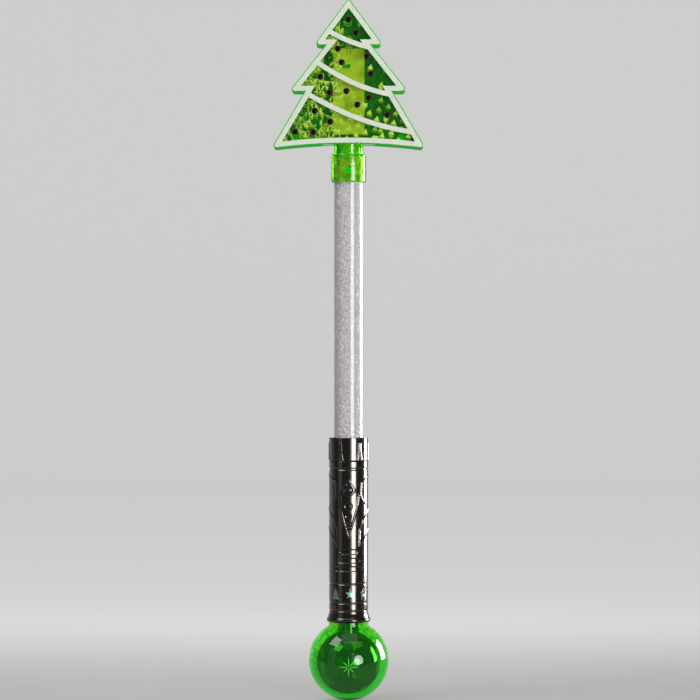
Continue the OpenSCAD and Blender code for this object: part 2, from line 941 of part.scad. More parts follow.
// Battery box with a round trough, open at the back, and an ear for the door's screw
module battery_box()
    color("beige")
        difference() {
            union() {
                translate([-box_hw, box_front_y, box_bot])
                    cube([2 * box_hw, box_rim_y - box_front_y, box_top - box_bot]);
                translate([-ear_hw, box_front_y, ear_bot])
                    cube([2 * ear_hw, ear_top_y - box_front_y, ear_len]);
            }
            translate([0, cell_y, 0])
                cylinder_between(box_in_r, leaf_bot, box_top - box_wall);
            translate([-box_in_r, cell_y, leaf_bot])
                cube([2 * box_in_r, handle_r, box_top - box_wall - leaf_bot]);
            lead_hole(plus_lead_x, box_top - box_wall - cut, box_top + cut);
            translate([0, battery_lead_y - tab_hw - slip_gap, leaf_bot])
                cube([box_hw + cut, 2 * (tab_hw + slip_gap), contact_t + slip_gap]);
            translate([0, 0, ear_mid])
                rod_y(door_screw_r + running_gap, ear_top_y - door_screw_depth - free_gap, ear_top_y + cut);
        }

module lead_hole(x, low, high)
    translate([x, battery_lead_y, 0])
        cylinder_between(lead_d / 2 + slip_gap, low, high);

// Coin cell: a can with a narrower cap on its upper side
module cell(low) {
    cylinder_between(cell_r, low, low + cell_h - cell_cap_h);
    cylinder_between(cell_r - cell_cap_h, low, low + cell_h);
}

module coin_cells()
    color("silver")
        for (i = [0 : cell_count - 1])
            translate([0, cell_y, 0])
                cell(stack_bot + i * cell_pitch);

module contact_plate()
    color("gold")
        translate([0, cell_y, 0])
            cylinder_between(cell_r, plate_bot, plate_bot + contact_t);

// Contact leaf: a base with a tab through the box's side, and a bowed strip that presses the stack
module contact_leaf()
    color("gold") {
        translate([0, cell_y, 0])
            cylinder_between(cell_r, leaf_bot, leaf_bot + contact_t);
        translate([0, battery_lead_y - tab_hw, leaf_bot])
            cube([minus_lead_x + lead_d / 4, 2 * tab_hw, contact_t]);
        translate([0, cell_y, leaf_bot])
            slab(-tab_hw, tab_hw)
                polygon(strip([
                    [-cell_r / 2, contact_t / 2], [-cell_r / 4, leaf_rise], [0, leaf_rise + contact_t / 2],
                    [cell_r / 4, leaf_rise], [cell_r / 2, contact_t / 2]
                ], contact_t));
    }

module battery_leads()
    color("firebrick") {
        lead(plus_lead_x, battery_lead_y, plate_bot + contact_t, control_bot + lead_lap);
        lead(minus_lead_x, battery_lead_y, leaf_bot + contact_t, control_bot + lead_lap);
    }

// Door that closes the battery opening, with a pad over the cells and a foot on the ear
module battery_door()
    color([0.16, 0.16, 0.17])
        difference() {
            union() {
                intersection() {
                    ring(handle_in_r, handle_r, door_bot, door_top);
                    door_block(0);
                }
                intersection() {
                    cylinder_between(handle_in_r + handle_wall / 2, door_bot, door_top);
                    translate([-door_pad_hw, cell_y + cell_r + free_gap, stack_bot])
                        cube([2 * door_pad_hw, handle_r, stack_len]);
                }
                intersection() {
                    cylinder_between(handle_in_r + handle_wall / 2, door_bot, door_top);
                    translate([0, 0, ear_mid])
                        rod_y(door_boss_r, ear_top_y + slip_gap, handle_r);
                }
            }
            translate([0, 0, ear_mid]) {
                rod_y(door_screw_r + running_gap, 0, handle_d);
                rod_y(door_head_r + running_gap, door_seat, handle_d);
            }
        }

// Screw with its head towards the back: the head's seat is at y, the shank runs to the front
module screw(head_r, head_h, r, seat, tip)
    difference() {
        union() {
            rod_y(r, tip, seat + head_h / 2);
            rod_y(head_r, seat, seat + head_h);
        }
        for (turn = [0, 90])
            rotate([0, turn, 0])
                translate([-head_r * 2 / 3, seat + head_h - slot_depth, -slot_w / 2])
                    cube([head_r * 4 / 3, slot_depth + cut, slot_w]);
    }

module door_screw()
    color("silver")
        translate([0, 0, ear_mid])
            screw(door_head_r, door_head_h, door_screw_r, door_seat, ear_top_y - door_screw_depth);

module handle_screws()
    color("silver")
        for (z = [upper_screw_z, lower_screw_z])
            translate([0, 0, z])
                screw(screw_head_r, screw_head_h, screw_r, screw_seat, -screw_depth);

// Ball with its board and lamp
module base_board()
    color("white")
        cylinder_between(base_board_r, flange_top, base_board_top);

module ball_led()
    color("honeydew")
        translate([0, 0, flange_top])
            mirror([0, 0, 1])
                lamp();

module base_lead_red()
    color("firebrick")
        lead(base_lead_x, 0, base_board_top, control_bot);

module base_lead_black()
    color("dimgray")
        lead(-base_lead_x, 0, base_board_top, control_bot);

module ball_round()
    difference() {
        union() {
            translate([0, 0, ball_z])
                sphere(r = ball_r);
            cylinder_between(shoulder_d / 2, ball_z, handle_bot);
            cylinder_between(ball_neck_r, ball_z, flange_top);
            cylinder_between(flange_r, flange_bot, flange_top);
        }
        translate([0, 0, cavity_z])
            sphere(r = cavity_r);
        cylinder_between(ball_bore_r, cavity_z, flange_top + cut);
    }

// Eight rays raised on the inside of the ball's front
module ball_star()
    intersection() {
        translate([0, 0, cavity_z])
            difference() {
                sphere(r = cavity_r + ray_h);
                sphere(r = cavity_r - ray_h);
            }
        translate([0, 0, cavity_z - star_drop])
            for (i = [0 : ray_count - 1])
                rotate([0, i * 360 / ray_count, 0])
                    translate([-ray_w / 2, -ball_r, ray_hub])
                        cube([ray_w, ball_r, ray_len - ray_hub]);
    }

module ball_front()
    color([0.05, 0.7, 0.15, 0.6]) {
        front_half()
            ball_round();
        ball_star();
    }

module ball_back()
    color([0.05, 0.7, 0.15, 0.6])
        back_half()
            ball_round();

tree_front_shell();
tree_back_shell();
front_prism_film();
back_prism_film();
front_trim();
back_trim();
front_baubles();
back_baubles();
head_board();
head_led();
clear_tube();
glitter_film();
head_lead_red();
head_lead_black();
petal_ferrule();
handle_front();
handle_back();
foil_motifs();
push_button();
switch_body();
switch_plunger();
control_board();
driver_chip();
tube_led();
battery_box();
coin_cells();
contact_plate();
contact_leaf();
battery_leads();
battery_door();
door_screw();
handle_screws();
base_board();
ball_led();
base_lead_red();
base_lead_black();
ball_front();
ball_back();
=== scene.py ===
"""Light-up tree wand: shells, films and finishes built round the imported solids."""

import math
import random

import bmesh
import bpy
import numpy as np
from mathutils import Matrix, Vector, geometry
from mathutils.bvhtree import BVHTree


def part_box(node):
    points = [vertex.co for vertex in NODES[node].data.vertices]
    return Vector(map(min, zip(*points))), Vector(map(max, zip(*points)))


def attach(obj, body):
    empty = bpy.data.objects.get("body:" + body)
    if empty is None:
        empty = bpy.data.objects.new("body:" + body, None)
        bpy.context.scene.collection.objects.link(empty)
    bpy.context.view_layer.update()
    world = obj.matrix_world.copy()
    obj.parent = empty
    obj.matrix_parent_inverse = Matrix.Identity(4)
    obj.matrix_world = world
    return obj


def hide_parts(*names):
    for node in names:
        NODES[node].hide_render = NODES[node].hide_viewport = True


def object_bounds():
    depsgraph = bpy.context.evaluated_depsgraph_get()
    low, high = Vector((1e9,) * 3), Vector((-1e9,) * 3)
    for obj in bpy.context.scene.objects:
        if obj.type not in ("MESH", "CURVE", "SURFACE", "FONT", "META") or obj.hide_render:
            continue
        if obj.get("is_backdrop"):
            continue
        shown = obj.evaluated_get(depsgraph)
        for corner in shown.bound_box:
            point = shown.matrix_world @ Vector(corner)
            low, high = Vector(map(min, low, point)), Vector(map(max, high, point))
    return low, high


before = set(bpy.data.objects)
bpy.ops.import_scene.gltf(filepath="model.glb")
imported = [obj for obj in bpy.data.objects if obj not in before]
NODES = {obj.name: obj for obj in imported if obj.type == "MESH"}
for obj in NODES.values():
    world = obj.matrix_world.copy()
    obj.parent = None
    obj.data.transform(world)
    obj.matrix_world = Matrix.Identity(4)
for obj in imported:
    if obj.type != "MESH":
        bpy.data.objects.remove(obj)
CAD_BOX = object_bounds()

bl_info = {
    "name": "Tree wand looks",
    "version": (1, 0, 0),
    "blender": (4, 5, 0),
    "location": "View3D > Sidebar > Wand",
    "description": "Dresses the packed tree wand with shells, films and finishes",
    "category": "Object",
}

MM = 0.001
QUARTER = math.pi / 2

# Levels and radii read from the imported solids
HANDLE_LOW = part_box("handle_front")[0].z
HANDLE_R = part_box("battery_door")[1].y
TUBE_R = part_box("clear_tube")[1].x
TREE_FACE = -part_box("front_trim")[1].y
COLLAR_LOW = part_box("tree_front_shell")[0].z
BALL_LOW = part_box("ball_front")[0].z
BALL_R = -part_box("ball_front")[0].y
BALL_NECK_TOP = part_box("ball_front")[1].z


def length_setting(name, description, default):
    return bpy.props.FloatProperty(name=name, description=description, default=default, unit="LENGTH")


def power_setting(name, description, default):
    return bpy.props.FloatProperty(name=name, description=description, default=default, unit="POWER")


def colour_setting(name, description, default):
    return bpy.props.FloatVectorProperty(
        name=name, description=description, default=default, subtype="COLOR")


class WandSizes(bpy.types.PropertyGroup):
    """Sizes of the modelled shells and films"""

    tree_width: length_setting(
        "Tree width", "Width across the bottom corners before they are rounded", 101 * MM)
    tree_height: length_setting(
        "Tree height", "Height from the bottom corners to the tip before they are rounded", 97.95 * MM)
    tree_foot_rise: length_setting("Foot rise", "Rise of the tree's bottom edge at its middle", 3.5 * MM)
    tree_corner: length_setting("Corner radius", "Radius of the tree's outer corners", 2 * MM)
    tree_wall: length_setting("Tree wall", "Wall of the two green shells", 1.6 * MM)
    tree_edge: length_setting("Edge radius", "Radius that rounds the faces into the sides", 0.8 * MM)
    neck_gap: length_setting("Neck", "Height of the tree's bottom corners above the collar", 2.8 * MM)
    collar_length: length_setting("Collar length", "Length of the collar that grips the tube", 18.5 * MM)
    collar_radius: length_setting("Collar radius", "Outer radius of the collar", 11.5 * MM)
    facet_pitch: length_setting("Facet side", "Side of one facet of the prism film", 3.7 * MM)
    facet_height: length_setting("Facet height", "Height of one facet's raised corner", 0.22 * MM)
    relief_pitch: length_setting("Relief pitch", "Grid of the handle's surface", 0.2 * MM)
    handle_wall: length_setting("Handle wall", "Wall of the handle's halves", 1.6 * MM)
    ball_wall: length_setting("Ball wall", "Wall of the ball's halves", 5.5 * MM)
    ray_length: length_setting("Ray length", "Length of a ray of the star inside the ball", 6.5 * MM)


class WandColours(bpy.types.PropertyGroup):
    """Colours of the finishes"""

    chrome: colour_setting("Chrome", "Dark plating of the handle", (0.083, 0.077, 0.071))
    green_tint: colour_setting(
        "Green tint", "Light that passes the clear green plastic", (0.89, 0.98, 0.76))
    deep_tint: colour_setting("Deep tint", "Light that passes the inside of the ball", (0.03, 0.34, 0.13))
    neon: colour_setting("Neon", "Edges of the fluorescent green plastic", (0.003, 0.5, 0.012))
    print_white: colour_setting("White print", "Border and garlands", (0.66, 0.72, 0.6))
    print_dark: colour_setting("Dark print", "Middle of a bauble", (0.005, 0.0025, 0.003))
    print_red: colour_setting("Red print", "Rim of a bauble", (0.16, 0.035, 0.03))
    glitter: colour_setting("Glitter", "Silvery film inside the tube", (0.58, 0.545, 0.55))


class WandStudio(bpy.types.PropertyGroup):
    """Camera and lamps"""

    camera_distance: length_setting("Camera distance", "From the camera to the wand's axis", 1.95)
    view_width: length_setting("View width", "Width of the picture at the wand's axis", 0.4562)
    view_height: length_setting("View height", "Level of the camera above the middle of the grip", 0.117)
    view_shift: length_setting("View shift", "Camera's place to the right of the wand's axis", 0.0009)
    key_power: power_setting("Key power", "Power of the round lamp at the front right", 34.0)
    fill_power: power_setting("Fill power", "Power of the soft box behind the camera", 3.5)
    rim_power: power_setting("Rim power", "Power of the soft box at the right rear", 6.8)
    side_power: power_setting("Side power", "Power of the tall panel at the left", 1.2)
    high_power: power_setting("High power", "Power of the soft box at the upper left", 10.5)
    left_power: power_setting("Left power", "Power of the panel at the left rear", 0.4)
    back_power: power_setting("Back power", "Power of the soft box high behind the wand", 1.6)
    top_power: power_setting("Top power", "Power of the soft box overhead", 2.6)
    backdrop_glow: bpy.props.FloatProperty(
        name="Backdrop glow", description="Paleness of the backdrop as it is seen",
        default=0.56)


# Finishes

# The ball's seam ring takes more of its pale high colour, a painted highlight, above this level
RING_HIGHLIGHT_LEVEL = BALL_LOW + 0.6 * BALL_R
RING_HIGHLIGHT_RISE_PER_M = 4.0
MINT_REACH = 5.3 * MM
FLOOR_RISE = 0.6
FLOOR_NEAR_GLOW = 0.45


class Finish:
    """One material under construction, with short calls to add and join its nodes"""

    def __init__(self, name):
        self.material = bpy.data.materials.new(name)
        self.material.use_nodes = True
        self.tree = self.material.node_tree
        self.tree.nodes.clear()
        self.output = self.add("OutputMaterial")

    def add(self, kind, sockets=None, **settings):
        node = self.tree.nodes.new("ShaderNode" + kind)
        for key, value in settings.items():
            setattr(node, key, value)
        for key, value in (sockets or {}).items():
            self.feed(node.inputs[key], value)
        return node

    def feed(self, socket, value):
        if isinstance(value, bpy.types.Node):
            value = value.outputs[0]
        if isinstance(value, bpy.types.NodeSocket):
            self.tree.links.new(value, socket)
        elif socket.type == "RGBA" and len(value) == 3:
            socket.default_value = (*value, 1)
        else:
            socket.default_value = value

    def show(self, shader):
        self.feed(self.output.inputs["Surface"], shader)
        return self.material

    def place(self):
        return self.add("TexCoord").outputs["Object"]

    def noise(self, size, detail):
        return self.add("TexNoise", {"Vector": self.place(), "Scale": 1 / size, "Detail": detail}).outputs[0]

    def cells(self, size, distance="EUCLIDEAN"):
        """Random colour of each cell of a size, and the colour's three channels"""
        cells = self.add("TexVoronoi", {"Vector": self.place(), "Scale": 1 / size}, distance=distance)
        colour = cells.outputs["Color"]
        return colour, self.add("SeparateColor", {"Color": colour}).outputs

    def spread(self, value, low, high, start=0.3, end=0.7):
        return self.add("MapRange", {
            "Value": value, "From Min": start, "From Max": end, "To Min": low, "To Max": high,
        })

    def shades(self, value, *stops):
        ramp = self.add("ValToRGB", {"Fac": value})
        elements = ramp.color_ramp.elements
        while len(elements) < len(stops):
            elements.new(1)
        for element, (position, colour) in zip(elements, stops):
            element.position = position
            element.color = (*colour, 1)
        return ramp

    def bump(self, height, distance, strength):
        return self.add("Bump", {"Height": height, "Distance": distance, "Strength": strength})

    def gloss_share(self, shine, index=1.49):
        """Share of light that a polished wall throws back, the same from either side of the wall"""
        behind = self.add("NewGeometry").outputs["Backfacing"]
        either = self.add("MapRange", {"Value": behind, "To Min": index, "To Max": 1 / index})
        fresnel = self.add("Fresnel", {"IOR": either.outputs[0]})
        return self.add("Math", {0: fresnel, 1: shine}, operation="MULTIPLY")

    def mix(self, share, first, second):
        return self.add("MixShader", {0: share, 1: first, 2: second})


def scaled(colour, factor):
    """Colour made darker or paler"""
    return tuple(factor * c for c in colour)


def dark_chrome(colours):
    """Dark plating with faint smudges"""
    f = Finish("dark_chrome")
    smudges = f.spread(f.noise(9 * MM, 4), 0.11, 0.17)
    peel = f.bump(f.noise(1.4 * MM, 2), 0.01 * MM, 0.12)
    return f.show(f.add("BsdfPrincipled", {
        "Base Color": tuple(colours.chrome), "Metallic": 1.0, "Roughness": smudges, "Normal": peel,
    }))


def clear_green(colours, name="clear_green", tint=None, body=0.03, gloss=0.03, shine=0.7, glow=0.12):
    """Clear fluorescent plastic: what is behind it shows through, tinted, under a polished surface, and its
    neon body gives a painted glow
    """
    f = Finish(name)
    cloud = f.noise(14 * MM, 3)
    inside = tuple(tint or colours.green_tint)
    passed = f.shades(cloud, (0.35, scaled(inside, 0.92)), (0.65, inside))
    through = f.add("BsdfTransparent", {"Color": passed})
    # The neon body's emission is a painted glow
    solid = f.add("BsdfPrincipled", {
        "Base Color": tuple(colours.neon), "Roughness": 0.4, "Specular IOR Level": 0.0,
        "Emission Color": (*colours.neon, 1), "Emission Strength": glow,
    })
    polish = f.add("BsdfGlossy", {"Color": (1, 1, 1), "Roughness": f.spread(cloud, gloss, 2 * gloss)})
    return f.show(f.mix(f.gloss_share(shine), f.mix(body, through, solid), polish))


def deep_green(colours):
    """Wall of the ball's hollow: deep green, with paler olive patches painted as reflections of the lamps"""
    f = Finish("deep_green")
    _, channels = f.cells(6 * MM, "CHEBYCHEV")
    through = f.add("BsdfTransparent", {"Color": tuple(colours.deep_tint)})
    # Olive patches: painted reflections of the lamps in the hollow
    painted_reflection = f.add("BsdfPrincipled", {
        "Base Color": (0.3, 0.36, 0.1), "Roughness": 0.45, "Specular IOR Level": 0.1,
    })
    reflection_patched = f.mix(f.spread(channels[0], 0.0, 0.5, 0.9, 0.93), through, painted_reflection)
    return f.show(f.mix(0.06, reflection_patched, f.add("BsdfGlossy", {"Color": (0.9, 1.0, 0.5), "Roughness": 0.07})))


def neon_edge_painted_glow(colours, name="neon_edge_painted_glow", low=None, high=None, level=None):
    """Edge of the fluorescent plastic with a painted neon glow, and more of the high colour, a painted
    highlight, above a level
    """
    f = Finish(name)
    cloud = f.noise(3 * MM, 3)
    if level is not None:
        up = f.add("SeparateXYZ", {"Vector": f.place()}).outputs["Z"]
        above = f.add("Math", {0: up, 1: level}, operation="SUBTRACT")
        cloud = f.add("Math", {0: above, 1: RING_HIGHLIGHT_RISE_PER_M, 2: cloud}, operation="MULTIPLY_ADD").outputs[0]
    plain = colours.neon
    bright = f.shades(cloud, (0.3, scaled(low or plain, 0.8)), (0.58, plain), (0.7, high or plain))
    return f.show(f.add("BsdfPrincipled", {
        "Base Color": bright, "Roughness": f.spread(cloud, 0.18, 0.34),
        # The emission is a painted neon glow
        "Emission Color": bright, "Emission Strength": 0.35, "Specular IOR Level": 0.1,
    }))


def crinkled_green():
    """Inside of the collar, where the crumpled film shows through the plastic; its pale cells are partly
    painted highlight
    """
    f = Finish("crinkled_green")
    _, channels = f.cells(2.6 * MM, "MANHATTAN")
    tints = (DARK_TINTS[-1], *GLINT_TINTS)
    shade = f.shades(channels[0], *((0.1 + 0.25 * k, tint) for k, tint in enumerate(tints)))
    foil = f.add("BsdfPrincipled", {"Base Color": shade, "Roughness": 0.3, "Specular IOR Level": 0.2})
    through = f.add("BsdfTransparent", {"Color": (0.9, 0.97, 0.4)})
    return f.show(f.mix(0.45, through, foil))


def prism_film(name, cover):
    """Foil pressed into small pyramids: each face has a tint, kept in the facet_tint attribute; the pale
    tints are partly the foil's own gold and partly painted highlight
    """
    f = Finish(name)
    tint = f.add("Attribute", attribute_name="facet_tint").outputs["Color"]
    grain = f.spread(f.noise(0.5 * MM, 2), 0.22, 0.42)
    foil = f.add("BsdfPrincipled", {"Base Color": tint, "Roughness": grain, "Specular IOR Level": 0.15})
    through = f.add("BsdfTransparent", {"Color": (1.0, 0.97, 0.3)})
    return f.show(f.mix(cover, through, foil))


def printed(name, colour, gloss=0.35):
    """Ink with fine pores"""
    f = Finish(name)
    cloud = f.noise(5 * MM, 3)
    pores = f.noise(0.35 * MM, 2)
    ink = f.shades(cloud, (0.3, scaled(colour, 0.9)), (0.7, colour))
    return f.show(f.add("BsdfPrincipled", {
        "Base Color": ink, "Roughness": f.spread(pores, gloss, gloss + 0.15), "Specular IOR Level": 0.15,
        "Normal": f.bump(pores, 0.02 * MM, 0.25),
    }))


def clear_tube():
    """Polished clear plastic"""
    f = Finish("clear_tube")
    cloud = f.noise(20 * MM, 2)
    through = f.add("BsdfTransparent", {"Color": (0.97, 0.97, 0.98)})
    polish = f.add("BsdfGlossy", {"Color": (1, 1, 1), "Roughness": f.spread(cloud, 0.02, 0.05)})
    return f.show(f.mix(f.gloss_share(0.38), through, polish))


def glitter(colours):
    """Fine flakes, each with its own shade and its own tilt"""
    f = Finish("glitter")
    flakes, channels = f.cells(0.65 * MM)
    cloud = f.noise(16 * MM, 3)
    base = tuple(colours.glitter)
    shade = f.shades(channels[0], (0.0, scaled(base, 0.8)), (0.6, base), (1.0, scaled(base, 1.3)))
    veil = f.add("Mix", {0: f.spread(cloud, 0.0, 0.3), 6: shade, 7: scaled(base, 1.1)}, data_type="RGBA")
    tilt = f.add("VectorMath", {
        0: f.add("VectorMath", {0: flakes, 1: (0.5, 0.5, 0.5)}, operation="SUBTRACT"),
        "Scale": 0.75,
    }, operation="SCALE")
    normal = f.add("VectorMath", {0: f.add("NewGeometry").outputs["Normal"], 1: tilt}, operation="ADD")
    facing = f.add("VectorMath", {0: normal}, operation="NORMALIZE")
    return f.show(f.add("BsdfPrincipled", {
        "Base Color": veil.outputs[2], "Roughness": 0.42, "Specular IOR Level": 0.25, "Normal": facing,
    }))


def holographic_foil():
    """Speckled foil, mint on the motifs at the middle and silver on those at the sides"""
    f = Finish("foil")
    _, channels = f.cells(0.9 * MM)
    mint = f.shades(
        channels[0], (0.0, (0.02, 0.3, 0.12)), (0.5, (0.08, 0.5, 0.28)), (0.8, (0.5, 0.6, 0.5)))
    silver = f.shades(
        channels[0], (0.0, (0.16, 0.15, 0.13)), (0.6, (0.36, 0.33, 0.3)), (0.85, (0.1, 0.38, 0.2)))
    across = f.add("SeparateXYZ", {"Vector": f.place()}).outputs["X"]
    at_middle = f.add("Math", {0: across, 1: 0.0, 2: MINT_REACH}, operation="COMPARE")
    shade = f.add("Mix", {0: at_middle, 6: silver, 7: mint}, data_type="RGBA").outputs[2]
    return f.show(f.add("BsdfPrincipled", {
        "Base Color": shade, "Metallic": 0.7, "Roughness": f.spread(channels[1], 0.2, 0.45, 0, 1),
    }))


def moulded(name, colour, roughness=0.4, metallic=0.0, grain=0.6 * MM):
    """Plain moulded or stamped stuff with a little cloud and grain"""
    f = Finish(name)
    cloud = f.noise(6 * MM, 3)
    fine = f.noise(grain, 3)
    shade = f.shades(cloud, (0.3, scaled(colour, 0.86)), (0.7, colour))
    return f.show(f.add("BsdfPrincipled", {
        "Base Color": shade, "Metallic": metallic, "Roughness": f.spread(fine, roughness, roughness + 0.14),
        "Normal": f.bump(fine, 0.02 * MM, 0.2),
    }))


def lamp_clear():
    """Cloudy clear resin of the small lamps"""
    f = Finish("lamp_clear")
    cloud = f.noise(2 * MM, 2)
    through = f.add("BsdfTransparent", {"Color": (0.95, 0.98, 0.95)})
    body = f.add("BsdfPrincipled", {"Base Color": (0.8, 0.9, 0.8), "Roughness": f.spread(cloud, 0.1, 0.25)})
    return f.show(f.mix(0.45, through, body))


def floor_finish(glow):
    """Pale floor that keeps shadows, and looks as pale in glossy and clear surfaces as it does itself"""
    f = Finish("pale_floor")
    grain = f.noise(40 * MM, 4)
    pale = f.shades(grain, (0.3, (0.235, 0.235, 0.232)), (0.7, (0.245, 0.245, 0.242)))
    rays = f.add("LightPath").outputs
    seen = f.add("Math", {0: rays["Is Camera Ray"], 1: rays["Is Glossy Ray"]}, operation="MAXIMUM")
    shown = f.add("Math", {0: seen, 1: rays["Is Transmission Ray"]}, operation="MAXIMUM")
    depth = f.add("SeparateXYZ", {"Vector": f.place()}).outputs["Y"]
    rise = f.add("MapRange", {
        "Value": depth, "From Max": FLOOR_RISE, "To Min": FLOOR_NEAR_GLOW * glow, "To Max": glow,
    }, interpolation_type="SMOOTHSTEP")
    strength = f.add("Math", {0: shown, 1: rise.outputs[0]}, operation="MULTIPLY")
    cloth = f.add("BsdfDiffuse", {"Color": pale})
    light = f.add("Emission", {"Color": (1, 1, 0.99), "Strength": strength})
    return f.show(f.add("AddShader", {0: cloth, 1: light}))


FINISHES = {}

# Colour of each moulded or stamped finish, its roughness, and for metals their share and grain
MOULDED = {
    "white_board": ((0.92, 0.92, 0.86), 0.35),
    "green_board": ((0.01, 0.12, 0.04), 0.3),
    "red_lead": ((0.45, 0.02, 0.02), 0.35),
    "black_lead": ((0.03, 0.03, 0.03), 0.35),
    "black_gloss": ((0.012, 0.012, 0.013), 0.08),
    "black_matte": ((0.02, 0.02, 0.022), 0.5),
    "ivory_plastic": ((0.62, 0.57, 0.45), 0.4),
    "bright_steel": ((0.55, 0.55, 0.56), 0.2, 1.0, 0.25 * MM),
    "contact_brass": ((0.66, 0.45, 0.18), 0.22, 1.0, 0.25 * MM),
    "pale_cut": ((0.72, 0.85, 0.5), 0.25),
}


def finishes():
    """Every finish of the wand, made once and kept by name"""
    colours = bpy.context.scene.wand_colours
    if not FINISHES:
        FINISHES.update({
            "dark_chrome": dark_chrome(colours),
            # Emission (glow) in the green plastics is a painted neon glow
            "clear_green": clear_green(colours, body=0.015, shine=0.3),
            "collar_green": clear_green(colours, "collar_green", (0.64, 0.97, 0.24), 0.05),
            "wall_green": clear_green(colours, "wall_green", (0.12, 0.9, 0.15), 0.8, shine=0.12, glow=0.3),
            "lining_green": clear_green(colours, "lining_green", (0.7, 0.9, 0.5), 0.1, shine=0.12, glow=0.0),
            "ball_green": clear_green(colours, "ball_green", (0.36, 0.95, 0.34), 0.04, shine=0.8),
            "deep_green": deep_green(colours),
            "neon_edge_painted_glow": neon_edge_painted_glow(colours),
            # Seam ring of the ball: a painted neon glow, and its pale high colour a painted highlight, more
            # of it towards the top
            "neon_ring_painted_glow": neon_edge_painted_glow(
                colours, "neon_ring_painted_glow", (0.003, 0.62, 0.012), (0.55, 0.62, 0.03), RING_HIGHLIGHT_LEVEL),
            "crinkled_green": crinkled_green(),
            "prism_film": prism_film("prism_film", 0.1),
            "prism_glint": prism_film("prism_glint", 0.92),
            "prism_back": prism_film("prism_back", 0.985),
            "white_print": printed("white_print", colours.print_white),
            "dark_print": printed("dark_print", colours.print_dark, 0.2),
            "red_print": printed("red_print", colours.print_red, 0.3),
            "clear_tube": clear_tube(),
            "glitter": glitter(colours),
            "foil": holographic_foil(),
            "lamp_clear": lamp_clear(),
        })
        FINISHES.update({name: moulded(name, *look) for name, look in MOULDED.items()})
    return FINISHES


# Meshes

MERGE = 0.002 * MM


def mesh_of(name, points, faces):
    """New mesh from points and faces"""
    mesh = bpy.data.meshes.new(name)
    mesh.from_pydata([tuple(p) for p in points], [], faces)
    mesh.update()
    return mesh


def settle(mesh, sharp_deg=None):
    """Joins doubled points, turns the faces outwards, and shades smooth up to an angle"""
    form = bmesh.new()
    form.from_mesh(mesh)
    bmesh.ops.remove_doubles(form, verts=form.verts, dist=MERGE)
    bmesh.ops.recalc_face_normals(form, faces=form.faces)
    form.to_mesh(mesh)
    form.free()
    if sharp_deg is not None:
        mesh.shade_smooth()
        mesh.set_sharp_from_angle(angle=math.radians(sharp_deg))
    return mesh


def add_piece(name, mesh, materials, replaces=(), body="wand"):
    """Puts a finished mesh in the scene as a piece of the wand"""
    piece = bpy.data.objects.new(name, mesh)
    bpy.context.scene.collection.objects.link(piece)
    for material in materials:
        mesh.materials.append(finishes()[material])
    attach(piece, body)
    if replaces:
        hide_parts(*replaces)
    return piece


def dress(node, *materials):
    """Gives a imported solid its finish"""
    slots = NODES[node].material_slots
    for slot, material in zip(slots, materials):
        slot.material = finishes()[material]


def fuse(base, others, operation="UNION"):
    """Joins meshes to a base mesh, or cuts them from it, and returns the result"""
    made_objects = [bpy.data.objects.new("form", m) for m in (base, *others)]
    for o in made_objects:
        bpy.context.scene.collection.objects.link(o)
    for o in made_objects[1:]:
        step = made_objects[0].modifiers.new("step", "BOOLEAN")
        step.operation = operation
        step.solver = "EXACT"
        step.object = o
    bpy.context.view_layer.update()
    graph = bpy.context.evaluated_depsgraph_get()
    result = bpy.data.meshes.new_from_object(made_objects[0].evaluated_get(graph))
    for o in made_objects:
        bpy.data.objects.remove(o)
    return result


def band(first, second, count):
    """Faces between two closed rings of points, given where each ring starts"""
    return [(first + i, first + (i + 1) % count, second + (i + 1) % count, second + i) for i in range(count)]


def arc(centre, radius, start_deg, end_deg, steps):
    """Points of an arc in a plane"""
    turns = [math.radians(start_deg + (end_deg - start_deg) * k / steps) for k in range(steps + 1)]
    return [(centre[0] + radius * math.cos(t), centre[1] + radius * math.sin(t)) for t in turns]


def circle(centre, radius, steps):
    """Points of a whole circle in a plane"""
    return arc(centre, radius, 0, 360 - 360 / steps, steps - 1)


def half_lathe(name, profile, side, steps=96, gap=0.02 * MM):
    """Turns a closed profile of radius and height through half a turn and closes its two ends"""
    count = len(profile)
    points = []
    for k in range(steps + 1):
        turn = -QUARTER + math.pi * k / steps
        for r, z in profile:
            y = side * max(r * math.cos(turn), 0) + side * gap
            points.append((r * math.sin(turn), y, z))
    faces = [face for k in range(steps) for face in band(k * count, (k + 1) * count, count)]
    faces += [tuple(range(count)), tuple(steps * count + i for i in range(count))]
    return settle(mesh_of(name, points, faces))


def rod(name, centre, radius, y_low, y_high, steps=48):
    """Round bar along Y"""
    points = [(x, y, z) for y in (y_low, y_high) for x, z in circle(centre, radius, steps)]
    faces = [*band(0, steps, steps), tuple(range(steps)), tuple(range(steps, 2 * steps))]
    return settle(mesh_of(name, points, faces))


def sleeve(name, outer, inner, low, high, steps=160):
    """Round tube along Z"""
    rims = [(outer, low), (outer, high), (inner, high), (inner, low)]
    points = [(x, y, z) for r, z in rims for x, y in circle((0, 0), r, steps)]
    faces = [face for k in range(4) for face in band(k * steps, (k + 1) % 4 * steps, steps)]
    return settle(mesh_of(name, points, faces))


# Tree outline, in X and height above its foot

TIER_SHARES = [(1, 0), (0.568, 0.378), (0.772, 0.378), (0.303, 0.685), (0.453, 0.685)]
PEG_SHARES = [(0, 0.855), (-0.683, 0.088), (0.683, 0.088)]
POST_SHARE = (0, 0.5525)
FOOT_STEPS = 12
ARC_STEPS = 6
LEAST_TURN = math.radians(20)
INNER_CORNER = 0.4 * MM
PARTING_STEP = 0.2 * MM


def tree_foot(sizes):
    """Level of the tree's bottom corners"""
    return COLLAR_LOW + sizes.collar_length + sizes.neck_gap


